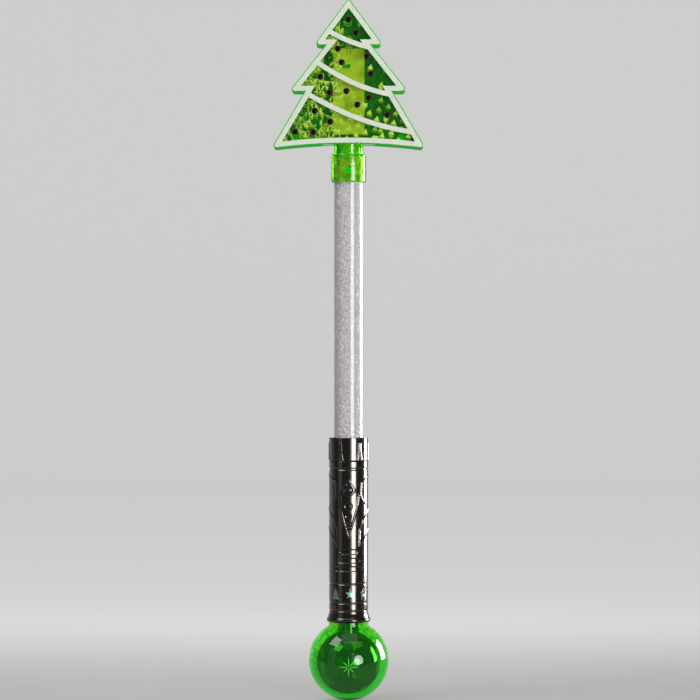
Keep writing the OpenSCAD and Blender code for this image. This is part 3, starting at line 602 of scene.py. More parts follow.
def on_tree(sizes, share):
    """Place in X and Z of a point given by its shares of the tree's half width and height"""
    return (share[0] * sizes.tree_width / 2, tree_foot(sizes) + share[1] * sizes.tree_height)


def sharp_tree(sizes):
    """Corners of the tree, anticlockwise from the right bottom corner"""
    half, height = sizes.tree_width / 2, sizes.tree_height
    right = [Vector((half * x, height * z)) for x, z in TIER_SHARES]
    left = [Vector((-p.x, p.y)) for p in reversed(right)]
    spread = [2 * i / FOOT_STEPS - 1 for i in range(1, FOOT_STEPS)]
    foot = [Vector((u * half, sizes.tree_foot_rise * (1 - u * u))) for u in spread]
    return right + [Vector((0, height))] + left + foot


def left_of(v):
    """Direction a quarter turn to the left"""
    return Vector((-v.y, v.x))


def edges_at(points, i):
    """Directions of the edges before and after a point"""
    before = (points[i] - points[i - 1]).normalized()
    after = (points[(i + 1) % len(points)] - points[i]).normalized()
    return before, after


def inset(points, distance):
    """Outline with each edge moved in by a distance"""
    result = []
    for i, p in enumerate(points):
        a, b = (left_of(v) for v in edges_at(points, i))
        result.append(p + distance * (a + b) / (1 + a.dot(b)))
    return result


def rounded(points, radius):
    """Outline with its outward corners turned into arcs"""
    result = []
    for i, p in enumerate(points):
        a, b = edges_at(points, i)
        turn = math.atan2(a.cross(b), a.dot(b))
        if turn < LEAST_TURN:
            result.append(p)
            continue
        centre = p - radius * math.tan(turn / 2) * a + radius * left_of(a)
        start = math.atan2(-left_of(a).y, -left_of(a).x)
        for k in range(ARC_STEPS + 1):
            swept = start + turn * k / ARC_STEPS
            result.append(centre + radius * Vector((math.cos(swept), math.sin(swept))))
    return result


def tree_outline(sizes, distance):
    """Outline set in by a distance, at its place in the wand"""
    corner = max(sizes.tree_corner - distance, INNER_CORNER)
    foot = tree_foot(sizes)
    return [(p.x, p.y + foot) for p in rounded(inset(sharp_tree(sizes), distance), corner)]


def tree_half(sizes, side):
    """One hollow half of the tree with rounded front edges"""
    depth, edge, wall = TREE_FACE, sizes.tree_edge, sizes.tree_wall
    bends = [k * QUARTER / 4 for k in range(5)]
    outer = [(edge * (1 - math.cos(t)), depth - edge + edge * math.sin(t)) for t in bends]
    steps = [(PARTING_STEP, 0), (0, 1.5 * PARTING_STEP), *outer, (wall, depth - wall), (wall, 0)]
    outlines = [tree_outline(sizes, d) for d, _ in steps]
    count = len(outlines[0])
    points = [(x, side * y, z) for outline, (_, y) in zip(outlines, steps) for x, z in outline]
    face_row = len(outer) + 1
    faces = []
    for row in range(len(steps)):
        start, following = row * count, (row + 1) % len(steps) * count
        if row == face_row:
            faces += [tuple(range(start, start + count)), tuple(range(following, following + count))]
        else:
            faces += band(start, following, count)
    return settle(mesh_of("tree_half", points, faces))


def collar_profile(sizes):
    """Neck and collar as a closed profile of radius and height"""
    slip, edge = 0.1 * MM, 1.1 * MM
    top = COLLAR_LOW + sizes.collar_length
    neck_top = tree_foot(sizes) + sizes.tree_foot_rise + 1.3 * sizes.tree_wall
    bore, r = TUBE_R - sizes.tree_wall, sizes.collar_radius
    seat = top - sizes.tree_wall
    return [
        (TUBE_R + slip, COLLAR_LOW),
        *arc((r - edge, COLLAR_LOW + edge), edge, -90, 0, 6),
        *arc((r - edge, top - edge), edge, 0, 90, 6),
        (TUBE_R, top), (TUBE_R, neck_top), (bore, neck_top), (bore, seat), (TUBE_R + slip, seat),
    ]


LOCK_PEG_RISE = 7.4 * MM
LOCK_PEG_R = 2.05 * MM
LOCK_PEG_ENDS = (TUBE_R - MM, TUBE_R + 0.9 * MM)
PEG_PLAY = 0.1 * MM
BOSS_R = 2.2 * MM
BOSS_GAP = 0.02 * MM
POST_R = 1.3 * MM
POST_GAP = 0.6 * MM
HAIR = 0.05 * MM
# NEON faces take the neon edge finish with its painted glow
CLEAR, NEON, COLLAR, CRINKLED, WALL, LINING = range(6)


def pin(name, centre, radius, side, near, far):
    """Round bar along Y at one side of the parting plane"""
    return rod(name, centre, radius, *sorted((side * near, side * far)))


def tree_shell(name, node, sizes, side):
    """Green shell with its half of the neck and the collar, its bosses and its locking peg"""
    foot = tree_foot(sizes)
    neck_top = foot + sizes.tree_foot_rise + 2 * sizes.tree_wall
    bore = TUBE_R - sizes.tree_wall
    inside = TREE_FACE - sizes.tree_wall / 2
    lock = (0, COLLAR_LOW + LOCK_PEG_RISE)
    pins = [pin("boss", on_tree(sizes, s), BOSS_R, side, BOSS_GAP, inside) for s in PEG_SHARES]
    pins.append(pin("post", on_tree(sizes, POST_SHARE), POST_R, side, POST_GAP, inside))
    pins.append(pin("peg", lock, LOCK_PEG_R, side, *LOCK_PEG_ENDS))
    collar = half_lathe("collar", collar_profile(sizes), side)
    passage = [(0, foot), (bore, foot), (bore, neck_top), (0, neck_top)]
    hollow = half_lathe("passage", passage, side, gap=-MM)
    body = fuse(tree_half(sizes, side), [hollow], "DIFFERENCE")
    body = fuse(body, [collar, *pins])
    body.name = name
    settle(body, 35)
    hollow_outline = tree_outline(sizes, sizes.tree_wall)
    for face in body.polygons:
        face.material_index = green_part(sizes, face, hollow_outline)
    looks = ["clear_green", "neon_edge_painted_glow", "collar_green", "crinkled_green", "wall_green", "lining_green"]
    return add_piece(name, body, looks, [node])


def is_inside(spot, outline):
    """Whether a point lies inside a closed outline"""
    x, z = spot
    inside = False
    for (ax, az), (bx, bz) in zip(outline, outline[1:] + outline[:1]):
        if (az > z) != (bz > z) and x < ax + (bx - ax) * (z - az) / (bz - az):
            inside = not inside
    return inside


def green_part(sizes, face, hollow_outline):
    """Which finish a face of a green shell takes"""
    foot = tree_foot(sizes)
    c, n = face.center, face.normal
    from_axis = math.hypot(c.x, c.y)
    from_lock = math.hypot(c.x, c.z - COLLAR_LOW - LOCK_PEG_RISE)
    depths = (TREE_FACE, TREE_FACE - sizes.tree_wall)
    if abs(n.y) > 0.98 and min(abs(abs(c.y) - d) for d in depths) < HAIR:
        return CLEAR
    if c.z > foot - sizes.neck_gap / 2 and from_axis > TUBE_R + MM:
        if abs(n.y) > 0.1 or abs(c.y) < MM:
            return NEON
        ahead = c + 0.3 * MM * n
        return LINING if is_inside((ahead.x, ahead.z), hollow_outline) else WALL
    if abs(n.z) > 0.6 or from_axis < TUBE_R - 1.7 * MM:
        return NEON
    if from_lock < 1.05 * LOCK_PEG_R and from_axis < TUBE_R + HAIR:
        return NEON
    return COLLAR if from_axis > TUBE_R + 0.3 * MM or c.z > foot - sizes.neck_gap else CRINKLED


# Prism film

# The pale glint tints are partly the film's own gold and partly painted highlight where a facet catches the
# lamps
DARK_TINTS = [(0.003, 0.18, 0.12), (0.005, 0.25, 0.16), (0.016, 0.31, 0.16)]
GLINT_TINTS = [(0.4, 0.55, 0.1), (0.68, 0.7, 0.18), (0.88, 0.88, 0.34)]
CRUMPLED_GLINTS, ROW_GLINTS, UPPER_GLINTS = 0.33, 0.06, 0.07
FACET_LEAN = math.radians(-12)
CRUMPLED_FROM = -4 * MM
ROWS_BELOW = 0.3
FILM_SEED = 7
FILM_EDGE = 0.3 * MM
FILM_GAP = 0.02 * MM
NECK_SEED = 11
NECK_TURNS, NECK_ROWS = 44, 18


def facet_tint(bright, x, height, draw):
    """Tint of a facet, and whether it glints with a painted highlight: in rows at the low right, crumpled at
    the left, else dark
    """
    if x < CRUMPLED_FROM:
        glints = draw.random() < CRUMPLED_GLINTS
    elif height < ROWS_BELOW:
        glints = bright or draw.random() < ROW_GLINTS
    else:
        glints = draw.random() < UPPER_GLINTS
    return draw.choice(GLINT_TINTS if glints else DARK_TINTS), glints


def facets(low, high, side, draw):
    """Triangles over a box, each with the rise of its corners, and whether it leans to the light, which in
    the rows earns it a painted highlight
    """
    along = Vector((math.cos(FACET_LEAN), math.sin(FACET_LEAN))) * side
    slant = Vector((math.cos(FACET_LEAN + math.pi / 3), math.sin(FACET_LEAN + math.pi / 3))) * side
    middle = Vector(((low[0] + high[0]) / 2, (low[1] + high[1]) / 2))
    reach = math.ceil((Vector(high) - Vector(low)).length / side)
    knots = {}
    for i in range(-reach, reach + 2):
        for j in range(-reach, reach + 2):
            spot = middle + i * along + j * slant
            crumple = 0.3 * side if spot.x < CRUMPLED_FROM else 0.04 * side
            knots[i, j] = spot + Vector((draw.uniform(-crumple, crumple), draw.uniform(-crumple, crumple)))
    for i in range(-reach, reach + 1):
        for j in range(-reach, reach + 1):
            for corners in (((i, j), (i + 1, j), (i, j + 1)), ((i + 1, j), (i + 1, j + 1), (i, j + 1))):
                rises = [1 if (a - b) % 3 == 0 else 0 for a, b in corners]
                spots = [knots[c] for c in corners]
                if spots[0].x > CRUMPLED_FROM:
                    # Facets that lean to the light get a painted highlight
                    yield spots, rises, corners[0] == (i, j) and rises[0] == 1
                    continue
                peak = spots[0].lerp(spots[1], draw.uniform(0.3, 0.6)).lerp(spots[2], draw.uniform(0.2, 0.5))
                rise = draw.uniform(0.1, 0.9)
                for k in range(3):
                    after = (k + 1) % 3
                    yield [spots[k], spots[after], peak], [rises[k], rises[after], rise], False


def prism_sheet(name, node, sizes, side, materials):
    """Sheet of small facets cut to the tree's outline, with holes for the bosses"""
    draw = random.Random(FILM_SEED)
    outline = tree_outline(sizes, sizes.tree_wall + FILM_EDGE)
    pins = [(s, BOSS_R) for s in PEG_SHARES] + [(POST_SHARE, POST_R)]
    holes = [circle(on_tree(sizes, s), r + PEG_PLAY, 24) for s, r in pins]
    points, faces, tilted = [], [], {}
    for loop in (outline, *holes):
        faces.append(list(range(len(points), len(points) + len(loop))))
        points += [Vector(p) for p in loop]
    low = [min(p[k] for p in outline) for k in (0, 1)]
    high = [max(p[k] for p in outline) for k in (0, 1)]
    for corners, rises, bright in facets(low, high, sizes.facet_pitch, draw):
        middle = sum(corners, Vector((0, 0))) / 3
        height = (middle.y - tree_foot(sizes)) / sizes.tree_height
        faces.append(list(range(len(points), len(points) + 3)))
        points += corners
        tilted[len(faces) - 1] = (corners, rises, facet_tint(bright, middle.x, height, draw))
    flat, _, cut_faces, _, _, sources = geometry.delaunay_2d_cdt(points, [], faces, 0, 1e-7)
    closed = range(1, 1 + len(holes))
    depth = TREE_FACE - sizes.tree_wall - FILM_GAP - sizes.facet_height
    heights, kept, looks = {}, [], []
    for corners, source in zip(cut_faces, sources):
        found = [tilted[s] for s in source if s in tilted]
        if 0 not in source or not found or any(s in closed for s in source):
            continue
        (a, b, c), rises, look = found[0]
        slopes = [Vector((*p, sizes.facet_height * rise)) for p, rise in zip((a, b, c), rises)]
        for i in corners:
            heights[i] = geometry.barycentric_transform(
                Vector((*flat[i], 0)), Vector((*a, 0)), Vector((*b, 0)), Vector((*c, 0)), *slopes).z
        kept.append(corners)
        looks.append(look)
    used = sorted(heights)
    index = {i: k for k, i in enumerate(used)}
    mesh = mesh_of(name, [
        (flat[i].x, side * (depth + heights[i]), flat[i].y) for i in used
    ], [tuple(index[i] for i in corners) for corners in kept])
    tint_faces(mesh, looks)
    return add_piece(name, mesh, materials, [node])


def tint_faces(mesh, looks):
    """Keeps each facet's tint, and gives the glinting ones the second finish"""
    colour = mesh.attributes.new("facet_tint", "FLOAT_COLOR", "FACE")
    colour.data.foreach_set("color", [c for tint, _ in looks for c in (*tint, 1)])
    mesh.polygons.foreach_set("material_index", [int(glints) for _, glints in looks])


def neck_film(sizes):
    """Crumpled tail of the film, rolled up inside the neck, its pale facets partly painted highlight"""
    draw = random.Random(NECK_SEED)
    low, high = COLLAR_LOW + 3.4 * MM, tree_foot(sizes) + 4 * MM
    near, far = 7.62 * MM, 8.1 * MM
    points = []
    for row in range(NECK_ROWS + 1):
        for k in range(NECK_TURNS):
            turn = 2 * math.pi * (k + 0.5 * (row % 2)) / NECK_TURNS
            r = draw.uniform(near, far)
            points.append((r * math.sin(turn), -r * math.cos(turn), low + (high - low) * row / NECK_ROWS))
    faces = []
    for row in range(NECK_ROWS):
        for a, b, d, c in band(row * NECK_TURNS, (row + 1) * NECK_TURNS, NECK_TURNS):
            faces += [(a, b, d), (a, d, c)]
    mesh = mesh_of("neck_film", points, faces)
    tints = [*GLINT_TINTS, GLINT_TINTS[0], DARK_TINTS[-1]]
    tint_faces(mesh, [(draw.choice(tints), draw.random() < 0.5) for _ in faces])
    return add_piece("neck_film", mesh, ["prism_back", "prism_glint"])


# Print

def disc_centres(node):
    """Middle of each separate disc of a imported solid, in X and Z"""
    form = bmesh.new()
    form.from_mesh(NODES[node].data)
    bmesh.ops.remove_doubles(form, verts=form.verts, dist=0.001 * MM)
    left, centres = set(form.verts), []
    while left:
        island, edge = set(), [left.pop()]
        while edge:
            v = edge.pop()
            island.add(v)
            near = {e.other_vert(v) for e in v.link_edges} & left
            left -= near
            edge += near
        xs, zs = [v.co.x for v in island], [v.co.z for v in island]
        centres.append(((min(xs) + max(xs)) / 2, (min(zs) + max(zs)) / 2))
    form.free()
    return sorted(centres)


BAUBLE_R = 2.05 * MM
BAUBLE_STEPS = 40
RIM_FROM = 4

# Share of the radius, and rise in millimetres, from the middle of a bauble to its edge
BAUBLE_PROFILE = [
    (0.0, 0.26), (0.3, 0.25), (0.6, 0.2), (0.85, 0.13), (0.9, 0.1), (0.93, 0.13), (0.98, 0.11), (1.0, 0.0),
]


def bauble_drops(name, node, side):
    """Printed drops, each a dark crown inside a thin red rim"""
    steps = BAUBLE_STEPS
    points, faces, slots = [], [], []
    for x, z in disc_centres(node):
        start = len(points)
        points.append((x, side * (TREE_FACE + BAUBLE_PROFILE[0][1] * MM), z))
        for share, rise in BAUBLE_PROFILE[1:]:
            y = side * (TREE_FACE + rise * MM)
            points += [(px, y, pz) for px, pz in circle((x, z), share * BAUBLE_R, steps)]
        for i in range(steps):
            faces.append((start, start + 1 + i, start + 1 + (i + 1) % steps))
            slots.append(0)
        for row in range(1, len(BAUBLE_PROFILE) - 1):
            a = start + 1 + (row - 1) * steps
            for i in range(steps):
                j = (i + 1) % steps
                faces.append((a + i, a + steps + i, a + steps + j, a + j))
                slots.append(1 if row >= RIM_FROM else 0)
    mesh = mesh_of(name, points, faces)
    mesh.polygons.foreach_set("material_index", slots)
    settle(mesh, 60)
    return add_piece(name, mesh, ["dark_print", "red_print"], [node])


# Tube

def tube_layer(name, node, skin, wall, finish):
    """Sleeve under the tube's skin, bored for the pegs of the collar"""
    low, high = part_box(node)
    body = sleeve(name, TUBE_R - skin, TUBE_R - skin - wall, low.z, high.z)
    reach = 1.5 * TUBE_R
    bore = rod("bore", (0, COLLAR_LOW + LOCK_PEG_RISE), LOCK_PEG_R + PEG_PLAY, -reach, reach)
    body = fuse(body, [bore], "DIFFERENCE")
    body.name = name
    settle(body, 40)
    return add_piece(name, body, [finish], [node])


# Handle

CAST_FROM = 40 * MM
SLIVER = 0.01 * MM
DEEPEST = 4.6 * MM
OPENING_GAP = 0.5 * MM
OPENING_DEPTH = 1.2 * MM
FAINT = 0.12 * MM
FADE = 0.14 * MM


def surface_of(node):
    """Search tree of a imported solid"""
    mesh = NODES[node].data
    return BVHTree.FromPolygons([v.co for v in mesh.vertices], [tuple(p.vertices) for p in mesh.polygons])


def blurred(grid, passes):
    """Softens a grid of heights"""
    for _ in range(passes):
        padded = np.pad(grid, 1, mode="edge")
        grid = (padded[:-2, 1:-1] + padded[2:, 1:-1] + padded[1:-1, :-2] + padded[1:-1, 2:] + 4 * grid) / 8
    return grid


def radius_grid(node, turns, levels):
    """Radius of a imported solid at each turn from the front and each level"""
    tree = surface_of(node)
    grid = np.full((len(levels), len(turns)), np.nan)
    for k, turn in enumerate(turns):
        out = Vector((math.sin(turn), -math.cos(turn), 0))
        for i, z in enumerate(levels):
            spot, _, _, distance = tree.ray_cast(out * CAST_FROM + Vector((0, 0, z)), -out, CAST_FROM)
            if spot is not None:
                grid[i, k] = CAST_FROM - distance
    return grid


def opening_grid(relief, turns, levels, node):
    """Where the skin is left open for a moving piece"""
    low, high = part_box(node)
    sides = np.abs(HANDLE_R * np.sin(turns)) < high.x + OPENING_GAP
    heights = (levels > low.z - OPENING_GAP) & (levels < high.z + OPENING_GAP)
    deep = np.isnan(relief) | (relief < -OPENING_DEPTH)
    return deep & sides[None, :] & heights[:, None]


def clean_relief(relief, hole):
    """Relief without its faint ripples, softened a little, and even where the skin is open"""
    relief = np.clip(np.nan_to_num(relief, nan=-DEEPEST), -DEEPEST, None)
    share = np.clip((np.abs(relief) - FAINT) / FADE, 0, 1)
    relief *= share * share * (3 - 2 * share)
    relief[hole] = 0
    return blurred(relief, 2)


def relief_shell(name, node, sizes, span, wall, opening=None):
    """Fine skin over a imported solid: its even profile, and the lines and hollows that depart from it"""
    low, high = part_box(node)
    turn_count = round((span[1] - span[0]) * HANDLE_R / sizes.relief_pitch) + 1
    level_count = round((high.z - low.z) / sizes.relief_pitch) + 1
    turns = np.linspace(span[0], span[1], turn_count)
    levels = np.linspace(low.z + SLIVER, high.z - SLIVER, level_count)
    seen = radius_grid(node, turns, levels)
    profile = np.nanmedian(seen, axis=1)
    even = np.convolve(np.pad(profile, 1, mode="edge"), [0.25, 0.5, 0.25], mode="valid")
    relief = seen - profile[:, None]
    hole = opening_grid(relief, turns, levels, opening) if opening else np.zeros(seen.shape, bool)
    radius = even[:, None] + clean_relief(relief, hole)
    across, up = np.meshgrid(turns, levels)
    points = np.stack([radius * np.sin(across), -radius * np.cos(across), up], axis=-1).reshape(-1, 3)
    faces = []
    for i in range(level_count - 1):
        for k in range(turn_count - 1):
            if not hole[i:i + 2, k:k + 2].any():
                a = i * turn_count + k
                faces.append((a, a + 1, a + turn_count + 1, a + turn_count))
    mesh = mesh_of(name, points.tolist(), faces)
    form = bmesh.new()
    form.from_mesh(mesh)
    bmesh.ops.delete(form, geom=[v for v in form.verts if not v.link_faces], context="VERTS")
    if math.isclose(span[1] - span[0], 2 * math.pi):
        bmesh.ops.remove_doubles(form, verts=form.verts, dist=MERGE)
    form.to_mesh(mesh)
    form.free()
    mesh.shade_smooth()
    piece = add_piece(name, mesh, ["dark_chrome"], [node])
    thick = piece.modifiers.new("wall", "SOLIDIFY")
    thick.thickness = wall
    thick.offset = -1
    return piece


# Ball

SHOULDER_R, NECK_R, FLANGE_R, BORE_R = 13 * MM, 9 * MM, 10.6 * MM, 6.5 * MM
FLANGE = 2 * MM
BALL_EASE = 0.03 * MM
BALL_STEPS = 72
# The faces where the halves meet take the neon ring finish with its painted glow
DEEP, GLOWING_SEAM = 1, 2


def ball_hollow(sizes):
    """Radius and level of the ball's hollow"""
    return BALL_R - sizes.ball_wall, BALL_LOW + BALL_R - 0.24 * sizes.ball_wall


def ball_profile(sizes):
    """Closed profile of the ball with its shoulder and neck"""
    hollow_r, hollow_z = ball_hollow(sizes)
    flange_low = BALL_NECK_TOP - FLANGE
    shoulder_turn = math.degrees(math.acos(SHOULDER_R / BALL_R))
    bore_turn = math.degrees(math.acos(BORE_R / hollow_r))
    return [
        *arc((0, BALL_LOW + BALL_R), BALL_R - BALL_EASE, -90, shoulder_turn, BALL_STEPS),
        (SHOULDER_R, HANDLE_LOW), (NECK_R, HANDLE_LOW), (NECK_R, flange_low), (FLANGE_R, flange_low),
        (FLANGE_R, BALL_NECK_TOP), (BORE_R, BALL_NECK_TOP),
        *arc((0, hollow_z), hollow_r, bore_turn, -90, BALL_STEPS),
    ]


def ball_half(name, node, sizes, side):
    """Half of the ball: polished outside, deep green inside, and a painted neon glow where the halves meet
    """
    hollow_r, hollow_z = ball_hollow(sizes)
    mesh = half_lathe(name, ball_profile(sizes), side)
    settle(mesh, 30)
    for face in mesh.polygons:
        c, n = face.center, face.normal
        from_middle = (c - Vector((0, 0, hollow_z))).length
        if abs(c.y) < HAIR and abs(n.y) > 0.9:
            face.material_index = GLOWING_SEAM
        elif from_middle < hollow_r + 0.3 * MM or math.hypot(c.x, c.y) < FLANGE_R + 0.1 * MM:
            face.material_index = DEEP
    return add_piece(name, mesh, ["ball_green", "deep_green", "neon_ring_painted_glow"], [node])


def ball_star(sizes):
    """Eight thin rays moulded on the inside of the ball's front"""
    hollow_r, hollow_z = ball_hollow(sizes)
    hub, drop, half_width, height, root = 0.7 * MM, 1.3 * MM, 0.34 * MM, 0.5 * MM, 0.05 * MM
    steps = 10
    points, faces = [], []
    for ray in range(8):
        turn = ray * math.pi / 4
        along = Vector((math.sin(turn), math.cos(turn)))
        across = Vector((along.y, -along.x))
        start = len(points)
        length = sizes.ray_length * (1 if ray % 2 == 0 else 0.8)
        for k in range(steps + 1):
            share = k / steps
            reach = hub + (length - hub) * share
            swell = math.sin(math.pi * (0.12 + 0.86 * share))
            for offset, rise in ((-1, 0), (0, 1), (1, 0)):
                flat = along * reach + across * offset * half_width * swell
                z = flat.y - drop
                y = -math.sqrt(hollow_r ** 2 - flat.x ** 2 - z ** 2) + (rise * height * swell - root)
                points.append((flat.x, y, hollow_z + z))
        for k in range(steps):
            a = start + 3 * k
            faces += [(a, a + 1, a + 4, a + 3), (a + 1, a + 2, a + 5, a + 4), (a, a + 3, a + 5, a + 2)]
        end = start + 3 * steps
        faces += [(start, start + 2, start + 1), (end, end + 1, end + 2)]
    mesh = settle(mesh_of("ball_star", points, faces), 30)
    return add_piece("ball_star", mesh, ["pale_cut"])


# Operators

WORLD_GREY = (0.14, 0.14, 0.14, 1)


class WAND_OT_stage(bpy.types.Operator):
    """Makes the floor, the lamps and the camera"""

    bl_idname = "wand.stage"
    bl_label = "Stage"

    def execute(self, context):
        studio = context.scene.wand_studio
        context.scene.view_settings.view_transform = "Standard"
        self.floor(studio)
        self.world(context.scene)
        aim = Vector((0, 0, studio.view_height))
        self.lamp("key_lamp", 30, 0, 2.2, (1.0, 1.0), studio.key_power, aim, shape="DISK")
        self.lamp("fill_box", 19, 2, 2.4, (0.8, 1.5), studio.fill_power, aim)
        rim = self.lamp("rim_box", 119, 3, 1.1, (0.42, 0.6), studio.rim_power, aim, spread=80)
        # The rim box is seen in polished surfaces and lights nothing else
        rim.visible_diffuse = False
        self.lamp("side_panel", -51, 4, 1.5, (0.6, 1.6), studio.side_power, aim)
        self.lamp("high_box", -60, 48, 1.5, (0.7, 0.7), studio.high_power, aim)
        self.lamp("left_panel", -122, 8, 1.2, (0.6, 1.0), studio.left_power, aim)
        self.lamp("back_box", 180, 38, 1.5, (0.7, 0.7), studio.back_power, aim, spread=50)
        self.lamp("top_box", 10, 70, 1.3, (1.0, 1.0), studio.top_power, aim)
        self.camera(context.scene, studio)
        return {"FINISHED"}

    def floor(self, studio):
        """Table that curves up into a wall behind the wand"""
        front, back, bend, height, half_width = -0.12, 3.0, 1.2, 2.6, 4.5
        profile = [(front, 0), (0.0, 0), (0.5, 0), (1.5, 0), (back, 0)]
        profile += arc((back, bend), bend, -90, 0, 16)[1:]
        profile.append((back + bend, height))
        level = BALL_LOW - 0.2 * MM
        columns = (-half_width, -1, 0, 1, half_width)
        count = len(columns)
        points = [(x, y, z + level) for y, z in profile for x in columns]
        faces = [
            (a, a + 1, a + count + 1, a + count)
            for row in range(len(profile) - 1) for a in range(row * count, (row + 1) * count - 1)
        ]
        mesh = settle(mesh_of("floor", points, faces), 60)
        mesh.materials.append(floor_finish(studio.backdrop_glow))
        floor = bpy.data.objects.new("floor", mesh)
        bpy.context.scene.collection.objects.link(floor)
        floor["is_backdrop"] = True

    def world(self, scene):
        world = bpy.data.worlds.new("studio")
        world.use_nodes = True
        world.node_tree.nodes["Background"].inputs["Color"].default_value = WORLD_GREY
        scene.world = world

    def lamp(self, name, azimuth, elevation, distance, size, power, aim, shape="RECTANGLE", spread=180):
        """Soft lamp turned to the wand, at an azimuth from the front and an elevation in degrees"""
        data = bpy.data.lights.new(name, "AREA")
        data.shape = shape
        data.size = size[0]
        if shape == "RECTANGLE":
            data.size_y = size[1]
        data.energy = power
        data.spread = math.radians(spread)
        lamp = bpy.data.objects.new(name, data)
        a, e = math.radians(azimuth), math.radians(elevation)
        away = Vector((math.sin(a) * math.cos(e), -math.cos(a) * math.cos(e), math.sin(e)))
        lamp.location = aim + away * distance
        lamp.rotation_euler = away.to_track_quat("Z", "Y").to_euler()
        bpy.context.scene.collection.objects.link(lamp)
        return lamp

    def camera(self, scene, studio):
        data = bpy.data.cameras.new("camera")
        data.lens = data.sensor_width * studio.camera_distance / studio.view_width
        camera = bpy.data.objects.new("camera", data)
        camera.location = (studio.view_shift, -studio.camera_distance, studio.view_height)
        camera.rotation_euler = (QUARTER, 0, 0)
        scene.collection.objects.link(camera)
        scene.camera = camera


class WAND_OT_tree_shells(bpy.types.Operator):
    """Makes the two green shells of the tree with their collar"""

    bl_idname = "wand.tree_shells"
    bl_label = "Tree shells"

    def execute(self, context):
        sizes = context.scene.wand_sizes
        tree_shell("tree_front_cover", "tree_front_shell", sizes, -1)
        tree_shell("tree_back_cover", "tree_back_shell", sizes, 1)
        return {"FINISHED"}


class WAND_OT_films(bpy.types.Operator):
    """Makes the prism films in the tree and in its neck"""

    bl_idname = "wand.films"
    bl_label = "Prism films"

    def execute(self, context):
        sizes = context.scene.wand_sizes
        prism_sheet("front_prism_sheet", "front_prism_film", sizes, -1, ["prism_film", "prism_glint"])
        prism_sheet("back_prism_sheet", "back_prism_film", sizes, 1, ["prism_back", "prism_back"])
        neck_film(sizes)
        return {"FINISHED"}


class WAND_OT_print(bpy.types.Operator):
    """Prints the border, the garlands and the baubles"""

    bl_idname = "wand.print"
    bl_label = "Print"

    def execute(self, context):
        dress("front_trim", "white_print")
        dress("back_trim", "white_print")
        bauble_drops("front_bauble_drops", "front_baubles", -1)
        bauble_drops("back_bauble_drops", "back_baubles", 1)
        return {"FINISHED"}


class WAND_OT_tube(bpy.types.Operator):
    """Makes the clear tube and the glitter film, drawn out to the skin as the thick wall shows it"""

    bl_idname = "wand.tube"
    bl_label = "Tube"

    def execute(self, context):
        tube_layer("clear_tube_skin", "clear_tube", 0.0, 0.3 * MM, "clear_tube")
        tube_layer("glitter_sheet", "glitter_film", 0.34 * MM, 0.2 * MM, "glitter")
        return {"FINISHED"}


class WAND_OT_handle(bpy.types.Operator):
    """Makes the chrome halves of the handle and its ferrule, and dresses the door"""

    bl_idname = "wand.handle"
    bl_label = "Handle"

    def execute(self, context):
        sizes = context.scene.wand_sizes
        hair = math.radians(0.03)
        front = (-QUARTER + hair, QUARTER - hair)
        back = (QUARTER + hair, 3 * QUARTER - hair)
        relief_shell("handle_front_cover", "handle_front", sizes, front, sizes.handle_wall, "push_button")
        relief_shell("handle_back_cover", "handle_back", sizes, back, sizes.handle_wall, "battery_door")
        around = (-math.pi, math.pi)
        relief_shell("petal_ferrule_cover", "petal_ferrule", sizes, around, HANDLE_R - TUBE_R - 0.1 * MM)
        dress("battery_door", "dark_chrome")
        dress("foil_motifs", "foil")
        return {"FINISHED"}


class WAND_OT_ball(bpy.types.Operator):
    """Makes the two halves of the ball and the star in it"""

    bl_idname = "wand.ball"
    bl_label = "Ball"

    def execute(self, context):
        sizes = context.scene.wand_sizes
        ball_half("ball_front_cover", "ball_front", sizes, -1)
        ball_half("ball_back_cover", "ball_back", sizes, 1)
        ball_star(sizes)
        return {"FINISHED"}


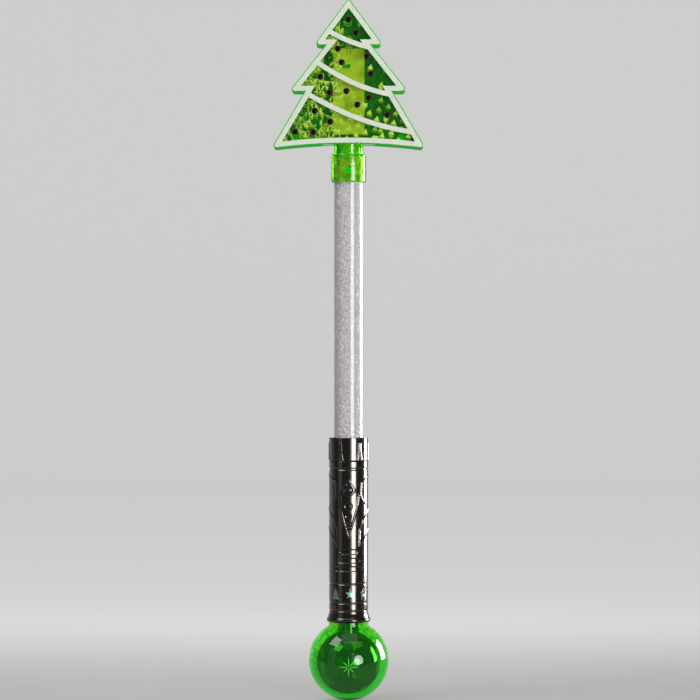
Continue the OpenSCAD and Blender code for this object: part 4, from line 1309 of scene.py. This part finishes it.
class WAND_OT_inside(bpy.types.Operator):
    """Dresses the boards, lamps, leads, cells, contacts, switch and screws"""

    bl_idname = "wand.inside"
    bl_label = "Inside"

    FINISH_OF = {
        "head_board": "white_board", "base_board": "white_board", "control_board": "green_board",
        "head_led": "lamp_clear", "tube_led": "lamp_clear", "ball_led": "lamp_clear",
        "head_lead_red": "red_lead", "base_lead_red": "red_lead", "battery_leads": "red_lead",
        "head_lead_black": "black_lead", "base_lead_black": "black_lead",
        "push_button": "black_gloss", "switch_body": "black_matte", "driver_chip": "black_matte",
        "switch_plunger": "ivory_plastic", "battery_box": "ivory_plastic",
        "coin_cells": "bright_steel", "door_screw": "bright_steel", "handle_screws": "bright_steel",
        "contact_plate": "contact_brass", "contact_leaf": "contact_brass",
    }

    def execute(self, context):
        for node, finish in self.FINISH_OF.items():
            dress(node, finish)
        return {"FINISHED"}


class WAND_PT_sidebar(bpy.types.Panel):
    """Buttons that build the wand"""

    bl_idname = "WAND_PT_sidebar"
    bl_label = "Tree wand"
    bl_space_type = "VIEW_3D"
    bl_region_type = "UI"
    bl_category = "Wand"

    def draw(self, context):
        for operator in OPERATORS:
            self.layout.operator(operator.bl_idname)


OPERATORS = (
    WAND_OT_stage, WAND_OT_tree_shells, WAND_OT_films, WAND_OT_print, WAND_OT_tube, WAND_OT_handle,
    WAND_OT_ball, WAND_OT_inside,
)
GROUPS = {"wand_sizes": WandSizes, "wand_colours": WandColours, "wand_studio": WandStudio}


def register():
    for group in GROUPS.values():
        bpy.utils.register_class(group)
    for operator in OPERATORS:
        bpy.utils.register_class(operator)
    bpy.utils.register_class(WAND_PT_sidebar)
    for name, group in GROUPS.items():
        setattr(bpy.types.Scene, name, bpy.props.PointerProperty(type=group))


def unregister():
    for name in GROUPS:
        delattr(bpy.types.Scene, name)
    bpy.utils.unregister_class(WAND_PT_sidebar)
    for operator in reversed(OPERATORS):
        bpy.utils.unregister_class(operator)
    for group in GROUPS.values():
        bpy.utils.unregister_class(group)


def main():
    register()
    bpy.ops.wand.stage()
    bpy.ops.wand.tree_shells()
    bpy.ops.wand.films()
    bpy.ops.wand.print()
    bpy.ops.wand.tube()
    bpy.ops.wand.handle()
    bpy.ops.wand.ball()
    bpy.ops.wand.inside()
    boxes = {"cad": CAD_BOX, "visual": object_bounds()}
    {name: [list(corner) for corner in box] for name, box in boxes.items()}


if __name__ == "__main__":
    main()
